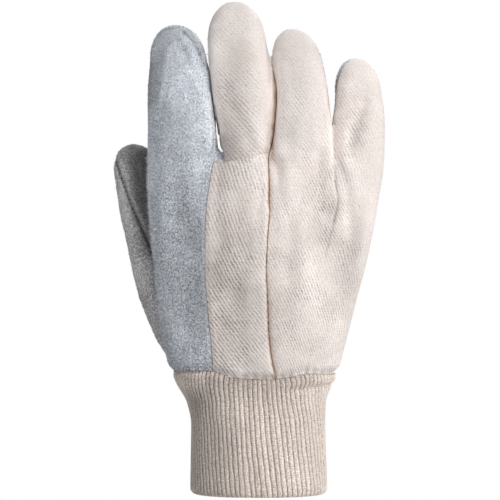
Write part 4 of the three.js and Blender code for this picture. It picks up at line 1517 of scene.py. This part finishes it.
def rib_knit():
    material, tree, shader = new_material("rib_knit", 0.95, 0.15)
    parts = add(tree, "ShaderNodeSeparateXYZ", {"Vector": add(tree, "ShaderNodeUVMap", uv_map="knit")}).node
    place = compute(tree, "FRACT", parts.outputs["X"])
    side = compute(tree, "ABSOLUTE", compute(tree, "SUBTRACT", compute(tree, "MULTIPLY", place, 2), 1))
    shake = fit(tree, speckle(tree, 2.5), 0, 1, -0.7, 0.7)
    climb = compute(tree, "ADD", compute(tree, "DIVIDE", compute(tree, "ADD", parts.outputs["Y"], shake),
                                         STITCH_HEIGHT), compute(tree, "MULTIPLY", side, 0.55))
    legs = wave(tree, climb)
    yarn = fuzz(tree, (1.0, 0.6, 0.4), (0.5, 0.7, 0.6))
    height = weighted(tree, (legs, 0.3), (yarn, 1.6))
    crest = compute(tree, "SUBTRACT", 1.0, compute(tree, "POWER", side, 4.0))
    rib = compute(tree, "FLOOR", parts.outputs["X"])
    uneven = add(tree, "ShaderNodeTexWhiteNoise", {"W": rib}, noise_dimensions="1D")
    # painted shade: the yarn darkens from each rib's crest into the groove between two ribs, though the ribs
    # are real geometry
    tone = compute(tree, "MULTIPLY", crest, 0.62)
    for part in (fit(tree, yarn, 0.38, 0.62, -0.28, 0.40), compute(tree, "MULTIPLY", legs, 0.20),
                 fit(tree, side, 0.0, 0.35, -0.16, 0.0), fit(tree, uneven, 0, 1, -0.09, 0.09)):
        tone = compute(tree, "ADD", tone, part)
    # the dark colour gives the painted shade in the grooves as well as the yarn's fuzz
    color = blend(tree, roughened(tree, tone), (0.27, 0.195, 0.155), (0.91, 0.82, 0.76))
    connect(tree, shader, color, height, 0.35)
    return material


knit = rib_knit()
print("material:", knit.name)

# %% [markdown]
# ## Stitches
#
# The glove is sewn inside out and then turned, so of each seam only short ticks of thread show, deep in the
# groove. They could be placed one by one, but the seam is found as a contour on the form, which is walked
# from face to face. Points at the pitch of the stitches go into a mesh, each with the direction of its
# thread, and Geometry Nodes put a stitch on each.

# %% Sew the seams
# stitches show where the skin turns this much to the back, or at the side no more than that, above the wrist
BACK_SHOWS, SIDE_SHOWS = 0.35, 0.9
ABOVE_WRIST = 66
# a contour of fewer points than this is a crumb
CRUMB = 8


def new_tree(name, inputs):
    """A tree of geometry nodes with these inputs and one output, and the node that gives the inputs."""
    tree = bpy.data.node_groups.new(name, "GeometryNodeTree")
    for label, kind in inputs.items():
        tree.interface.new_socket(label, in_out="INPUT", socket_type="NodeSocket" + kind)
    tree.interface.new_socket("Made", in_out="OUTPUT", socket_type="NodeSocketGeometry")
    return tree, add(tree, "NodeGroupInput").node.outputs


def end_tree(tree, geometry, finish):
    finished = add(tree, "GeometryNodeSetMaterial", {0: geometry, "Material": finish})
    tree.links.new(finished, tree.nodes.new("NodeGroupOutput").inputs[0])
    return tree


def run_tree(obj, tree, values):
    """Runs a node tree on an object, with inputs set by name, and keeps the plain mesh that it makes."""
    modifier = obj.modifiers.new(tree.name, "NODES")
    modifier.node_group = tree
    for item in tree.interface.items_tree:
        if item.in_out == "INPUT" and item.name in values:
            modifier[item.identifier] = values[item.name]
    return settled(obj)


def contours(obj, values):
    """The lines on a mesh of four-sided faces where the values cross nought, as points and normals."""
    points, normals = points_of(obj), normals_of(obj)
    corners = np.empty(len(obj.data.loops), dtype=np.int32)
    obj.data.loops.foreach_get("vertex_index", corners)
    quads = corners.reshape(-1, 4)
    above = values > 0
    crossed = quads[above[quads].any(1) & ~above[quads].all(1)]
    links = {}
    for quad in crossed.tolist():
        sides = zip(quad, quad[1:] + quad[:1])
        edges = [tuple(sorted(side)) for side in sides if above[side[0]] != above[side[1]]]
        for a, b in zip(edges, edges[1:2]):
            links.setdefault(a, []).append(b)
            links.setdefault(b, []).append(a)
    lines, seen = [], set()
    starts = [edge for edge in links if len(links[edge]) == 1] + list(links)
    for start in starts:
        line, here = [], start
        while here is not None:
            seen.add(here)
            line.append(here)
            here = next((edge for edge in links[here] if edge not in seen), None)
        if len(line) > CRUMB:
            a, b = np.array(line).T
            share = (values[a] / (values[a] - values[b]))[:, None]
            lines.append([ends[a] + (ends[b] - ends[a]) * share for ends in (points, normals)])
        seen.add(start)
    return lines


def ticks(lines, pitch, shown, sunk=0.2):
    """Places at even steps along contours, with the direction across each, where the test says it shows."""
    places, ways = [], []
    for points, normals in lines:
        run = np.concatenate([[0], np.cumsum(np.linalg.norm(np.diff(points, axis=0), axis=1))])

        def read_at(at, values):
            return np.stack([np.interp(at, run, column) for column in values.T], 1)

        at = np.arange(pitch / 2, run[-1], pitch)
        here = read_at(at, points)
        ahead = read_at(at + 0.5, points) - here
        out = read_at(at, normals)
        out /= np.linalg.norm(out, axis=1)[:, None]
        keep = shown(here, out)
        places.append((here - out * sunk)[keep])
        ways.append(np.cross(ahead, out)[keep])
    return np.concatenate(places), np.concatenate(ways)


def on_back(low, high):
    """A test for stitches: they show where the skin faces back, between two heights."""
    return lambda here, out: (-out[:, 1] > BACK_SHOWS) & (here[:, 2] > low) & (here[:, 2] < high)


def round_the_side(here, out):
    return (here[:, 2] > ABOVE_WRIST) & (np.abs(out[:, 1]) < SIDE_SHOWS)


def all_round(here, out):
    return np.full(len(here), True)


def stitch_tree():
    tree, given = new_tree("stitches", {"Places": "Geometry", "Length": "Float", "Thickness": "Float",
                                        "Finish": "Material"})
    bead = add(tree, "GeometryNodeMeshUVSphere", {"Segments": 6, "Rings": 5, "Radius": 0.5})
    shape = add(tree, "ShaderNodeCombineXYZ",
                {"X": given["Length"], "Y": given["Thickness"], "Z": given["Thickness"]})
    way = add(tree, "GeometryNodeInputNamedAttribute", {"Name": "way"}, data_type="FLOAT_VECTOR")
    turned = add(tree, "FunctionNodeAlignRotationToVector", {"Vector": way}, axis="X")
    beads = add(tree, "GeometryNodeInstanceOnPoints",
                {"Points": given["Places"], "Instance": bead, "Rotation": turned, "Scale": shape})
    plain = add(tree, "GeometryNodeRealizeInstances", {0: beads})
    return end_tree(tree, add(tree, "GeometryNodeSetShadeSmooth", {"Geometry": plain}), given["Finish"])


def thread(name, light, dark):
    """Spun thread: fine light and dark twists."""
    material, tree, shader = new_material(name, 0.9, 0.1)
    twist = speckle(tree, 0.25, 2.0)
    connect(tree, shader, blend(tree, fit(tree, twist, 0.35, 0.65), dark, light), twist, 0.05)
    return material


def sew(name, seams, length_mm, thick_mm, finish):
    places, ways = (np.concatenate(parts) for parts in zip(*(seam_lines[seam] for seam in seams)))
    obj = mesh_object(name, places, [])
    attribute = obj.data.attributes.new("way", "FLOAT_VECTOR", "POINT")
    attribute.data.foreach_set("vector", ways.ravel())
    run_tree(obj, stitch_nodes, {"Length": length_mm * MM, "Thickness": thick_mm * MM, "Finish": finish})
    print(name, len(places), "stitches")
    return obj


index_turn = [(195, -24.0), (204, -24.8), (213.9, -25.9), (218.4, -27.7), (222.5, -29.7), (229, -32.8),
              (234.2, -38.4)]
x, y, z = points_of(bodies["hand"]).T
thumb_x, _, thumb_z = points_of(bodies["thumb"]).T
# the form, how far each of its points lies from the seam, where stitches show, and how deep they sink
seam_table = {
    "leather": ("hand", x - along(leather_seam, z), on_back(64, 166), 0.2),
    "centre": ("hand", x - along(centre_seam, z), on_back(61, 150), 0.2),
    "side": ("hand", y - side_seam(x, z), round_the_side, 0.2),
    "wrist": ("hand", z - along(cuff_seam, x), all_round, 0.5),
    "thumb": ("thumb", thumb_x - along(thumb_seam, thumb_z), on_back(ABOVE_WRIST, FAR), 0.2),
    "index": ("hand", x - along(index_turn, z), on_back(196, 234), 0.25),
}
seam_lines = {seam: ticks(contours(bodies[form], away), PITCH[seam], shown, sunk)
              for seam, (form, away, shown, sunk) in seam_table.items()}
stitch_nodes = stitch_tree()
cotton_thread = thread("cotton_thread", (0.72, 0.66, 0.62), (0.40, 0.34, 0.30))
grey_thread = thread("grey_thread", (0.20, 0.195, 0.195), (0.06, 0.06, 0.06))
# the seams, the stitches' length and thickness in millimetres, and their thread
stitch_table = {
    "index_stitches": (["index"], 1.2, 0.4, grey_thread),
    "seam_stitches": (["leather", "centre", "side"], 1.3, 0.42, cotton_thread),
    "wrist_stitches": (["wrist"], 1.8, 0.5, cotton_thread),
    "thumb_stitches": (["thumb"], 2.0, 0.75, grey_thread),
}
stitches = {name: sew(name, *row) for name, row in stitch_table.items()}

# %% [markdown]
# ## The nap
#
# Brushed split leather is furry: short fibres stand and lie all over it, and at the outline they show as
# fuzz. Hair particles could do this, but an export drops them. So Geometry Nodes scatter small closed spikes
# over the outer skin, each leaning its own way. The seed is fixed, so that the fur is the same on every run.

# %% Grow the nap
# how far a fibre leans at most and turns, in radians, and its size beside the usual one
MOST_LEAN, FULL_TURN = 1.42, 6.28
SMALLEST, LARGEST = 0.45, 1.35
SIZE_SEED, SHADE_SEED = 5, 6


def nap_tree():
    tree, given = new_tree("nap", {"Skin": "Geometry", "Density": "Float", "Length": "Float",
                                   "Thickness": "Float", "Least lean": "Float", "Seed": "Int",
                                   "Finish": "Material"})
    grows = add(tree, "GeometryNodeInputNamedAttribute", {"Name": "grows"}, data_type="FLOAT")
    density = compute(tree, "MULTIPLY", grows, given["Density"])
    roots = add(tree, "GeometryNodeDistributePointsOnFaces",
                {"Mesh": given["Skin"], "Density": density, "Seed": given["Seed"]}).node
    spike = add(tree, "GeometryNodeMeshCone",
                {"Vertices": 3, "Radius Bottom": given["Thickness"], "Depth": given["Length"]})
    least = add(tree, "ShaderNodeCombineXYZ", {"X": given["Least lean"]})
    lean = add(tree, "FunctionNodeRandomValue",
               {0: least, 1: (MOST_LEAN, 0, FULL_TURN), "Seed": given["Seed"]}, data_type="FLOAT_VECTOR")
    lean = add(tree, "FunctionNodeEulerToRotation", {0: lean})
    turned = add(tree, "FunctionNodeRotateRotation",
                 {"Rotation": roots.outputs["Rotation"], "Rotate By": lean}, rotation_space="LOCAL")
    size = add(tree, "FunctionNodeRandomValue", {2: SMALLEST, 3: LARGEST, "Seed": SIZE_SEED}, output=1)
    spikes = add(tree, "GeometryNodeInstanceOnPoints",
                 {"Points": roots.outputs["Points"], "Instance": spike, "Rotation": turned, "Scale": size})
    shade = add(tree, "FunctionNodeRandomValue", {2: 0.0, 3: 1.0, "Seed": SHADE_SEED}, output=1)
    spikes = add(tree, "GeometryNodeStoreNamedAttribute",
                 {"Geometry": spikes, "Name": "shade", "Value": shade}, data_type="FLOAT", domain="INSTANCE")
    plain = add(tree, "GeometryNodeRealizeInstances", {0: spikes})
    return end_tree(tree, plain, given["Finish"])


def everywhere(points):
    return np.ones(len(points))


# how far in from the strip's edge the longer fibres stand, and their reach
EDGE_IN, EDGE_REACH = 0.5, 2.2
# over these heights they end, and over these they begin
EDGE_ENDS, EDGE_BEGINS = (160, 215), (70, 90)
# behind the side seam, and where the leather wraps round, the fibres begin over these depths
BEHIND_SEAM, WRAPPED = (0.5, 4.0), (1.0, 3.0)


def strip_edge(points):
    """1 along the left edge of the hand below the index finger's tip, where the leather is rubbed."""
    x, y, z = points.T
    left = section_at(sections["palm"], z)[0]
    return bump(x - left - EDGE_IN, EDGE_REACH) * (1 - ramp(z, *EDGE_ENDS)) * ramp(z, *EDGE_BEGINS)


def away_from_cotton(points):
    """0 beside the side seam, and 1 further round or where the leather wraps round to the back."""
    x, y, z = points.T
    comes_round = SIDE_SEAM_DEPTH + curl(z) - side_seam(x, z)
    return np.maximum(ramp(y - side_seam(x, z), *BEHIND_SEAM), ramp(comes_round, *WRAPPED))


LEAN, STANDING = 0.85, 0.2
# the piece and the form under it, the fibres' finish, how many grow on a square millimetre, their length and
# thickness in millimetres, where they grow, and how far they lean at least, in radians
nap_table = {
    "index_nap": ("index_leather", "hand", index_fur, 3.0, 0.85, 0.17, everywhere, LEAN),
    "thumb_inner_nap": ("thumb_inner_leather", "thumb", thumb_fur, 1.6, 0.8, 0.18, everywhere, LEAN),
    "thumb_outer_nap": ("thumb_outer_leather", "thumb", thumb_fur, 1.6, 0.8, 0.18, everywhere, LEAN),
    "palm_nap": ("palm_leather", "palm_form", palm_fur, 0.9, 0.85, 0.2, away_from_cotton, LEAN),
    "index_edge_nap": ("index_leather", "hand", index_fur, 2.6, 2.0, 0.18, strip_edge, STANDING),
}


def grow_nap(name, seed, node, form, finish, per_mm2, length_mm, thick_mm, where, least_lean):
    piece = pieces[node]
    nap = bpy.data.objects.new(name, piece.data.copy())
    scene.collection.objects.link(nap)
    give_value(nap, "grows", kept_from(piece, form) * where(points_of(piece)))
    run_tree(nap, nap_nodes, {"Density": per_mm2 * 1e6, "Length": length_mm * MM, "Thickness": thick_mm * MM,
                              "Least lean": least_lean, "Seed": seed, "Finish": finish})
    print(name, len(nap.data.polygons) // 4, "fibres")
    return nap


nap_nodes = nap_tree()
# each kind of fibre has a seed of its own
naps = {name: grow_nap(name, seed, *row) for seed, (name, row) in enumerate(nap_table.items(), 1)}

# %% [markdown]
# ## Finish the pieces
#
# Each piece gets its material, shades smoothly but for its cut edges, and takes the place of its CAD node.
# The bodies that only served as patterns could be hidden, but a clean file has no such rests.

# %% Finish the pieces
SHARP = math.radians(50)
# the record's slot, and the finish
finishes = {
    "palm_leather": ("palm_split_leather", palm_skin),
    "index_leather": ("index_split_leather", index_skin),
    "thumb_inner_leather": ("thumb_split_leather", thumb_skin),
    "thumb_outer_leather": ("thumb_split_leather", thumb_skin),
    "middle_finger_back": ("cotton_drill", drill),
    "inner_back_panel": ("cotton_drill", drill),
    "outer_back_panel": ("cotton_drill", drill),
    "knit_wrist": ("rib_knit", knit),
}
for body in bodies.values():
    bpy.data.objects.remove(body)

for node, (slot, material) in finishes.items():
    piece = pieces[node]
    mesh = piece.data
    mesh.materials.clear()
    mesh.materials.append(material)
    mesh.polygons.foreach_set("use_smooth", [True] * len(mesh.polygons))
    mesh.set_sharp_from_angle(angle=SHARP)
    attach(piece, "root")
    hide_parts(node)

trimmings = naps | stitches
for name, trimming in trimmings.items():
    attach(trimming, "root")
made = [*pieces.values(), *trimmings.values()]
counts = {obj.name: sum(len(polygon.vertices) - 2 for polygon in obj.data.polygons) for obj in made}
print("triangles:", counts, "in all", sum(counts.values()))

# %% [markdown]
# ## The flat pieces
#
# A pattern cutter needs each piece as it lies flat on the table. The pieces could be unrolled, but a cloth
# that is held stretched keeps its area. A piece is a wall with two faces, so half of its surface is the area
# of its cut. Its width is measured round the limb and its length along it.

# %% State the flat sizes
# width and length, and the area of the cut, in metres, and then what grows or is sewn on the piece
cuts = {
    "palm_leather": (0.155, 0.215, 0.0241, "palm_nap"),
    "index_leather": (0.045, 0.195, 0.0076, "index_nap", "index_edge_nap", "index_stitches"),
    "thumb_inner_leather": (0.065, 0.125, 0.0066, "thumb_inner_nap"),
    "thumb_outer_leather": (0.040, 0.125, 0.0031, "thumb_outer_nap"),
    "middle_finger_back": (0.050, 0.095, 0.0041),
    "inner_back_panel": (0.034, 0.116, 0.0037),
    "outer_back_panel": (0.085, 0.185, 0.0118),
    "knit_wrist": (0.210, 0.062, 0.0130),
}
for node, (width, length, area, *on_piece) in cuts.items():
    half = sum(polygon.area for polygon in pieces[node].data.polygons) / 2
    print(node, "cut to", area, "square metres, half of its surface is", round(half, 5))
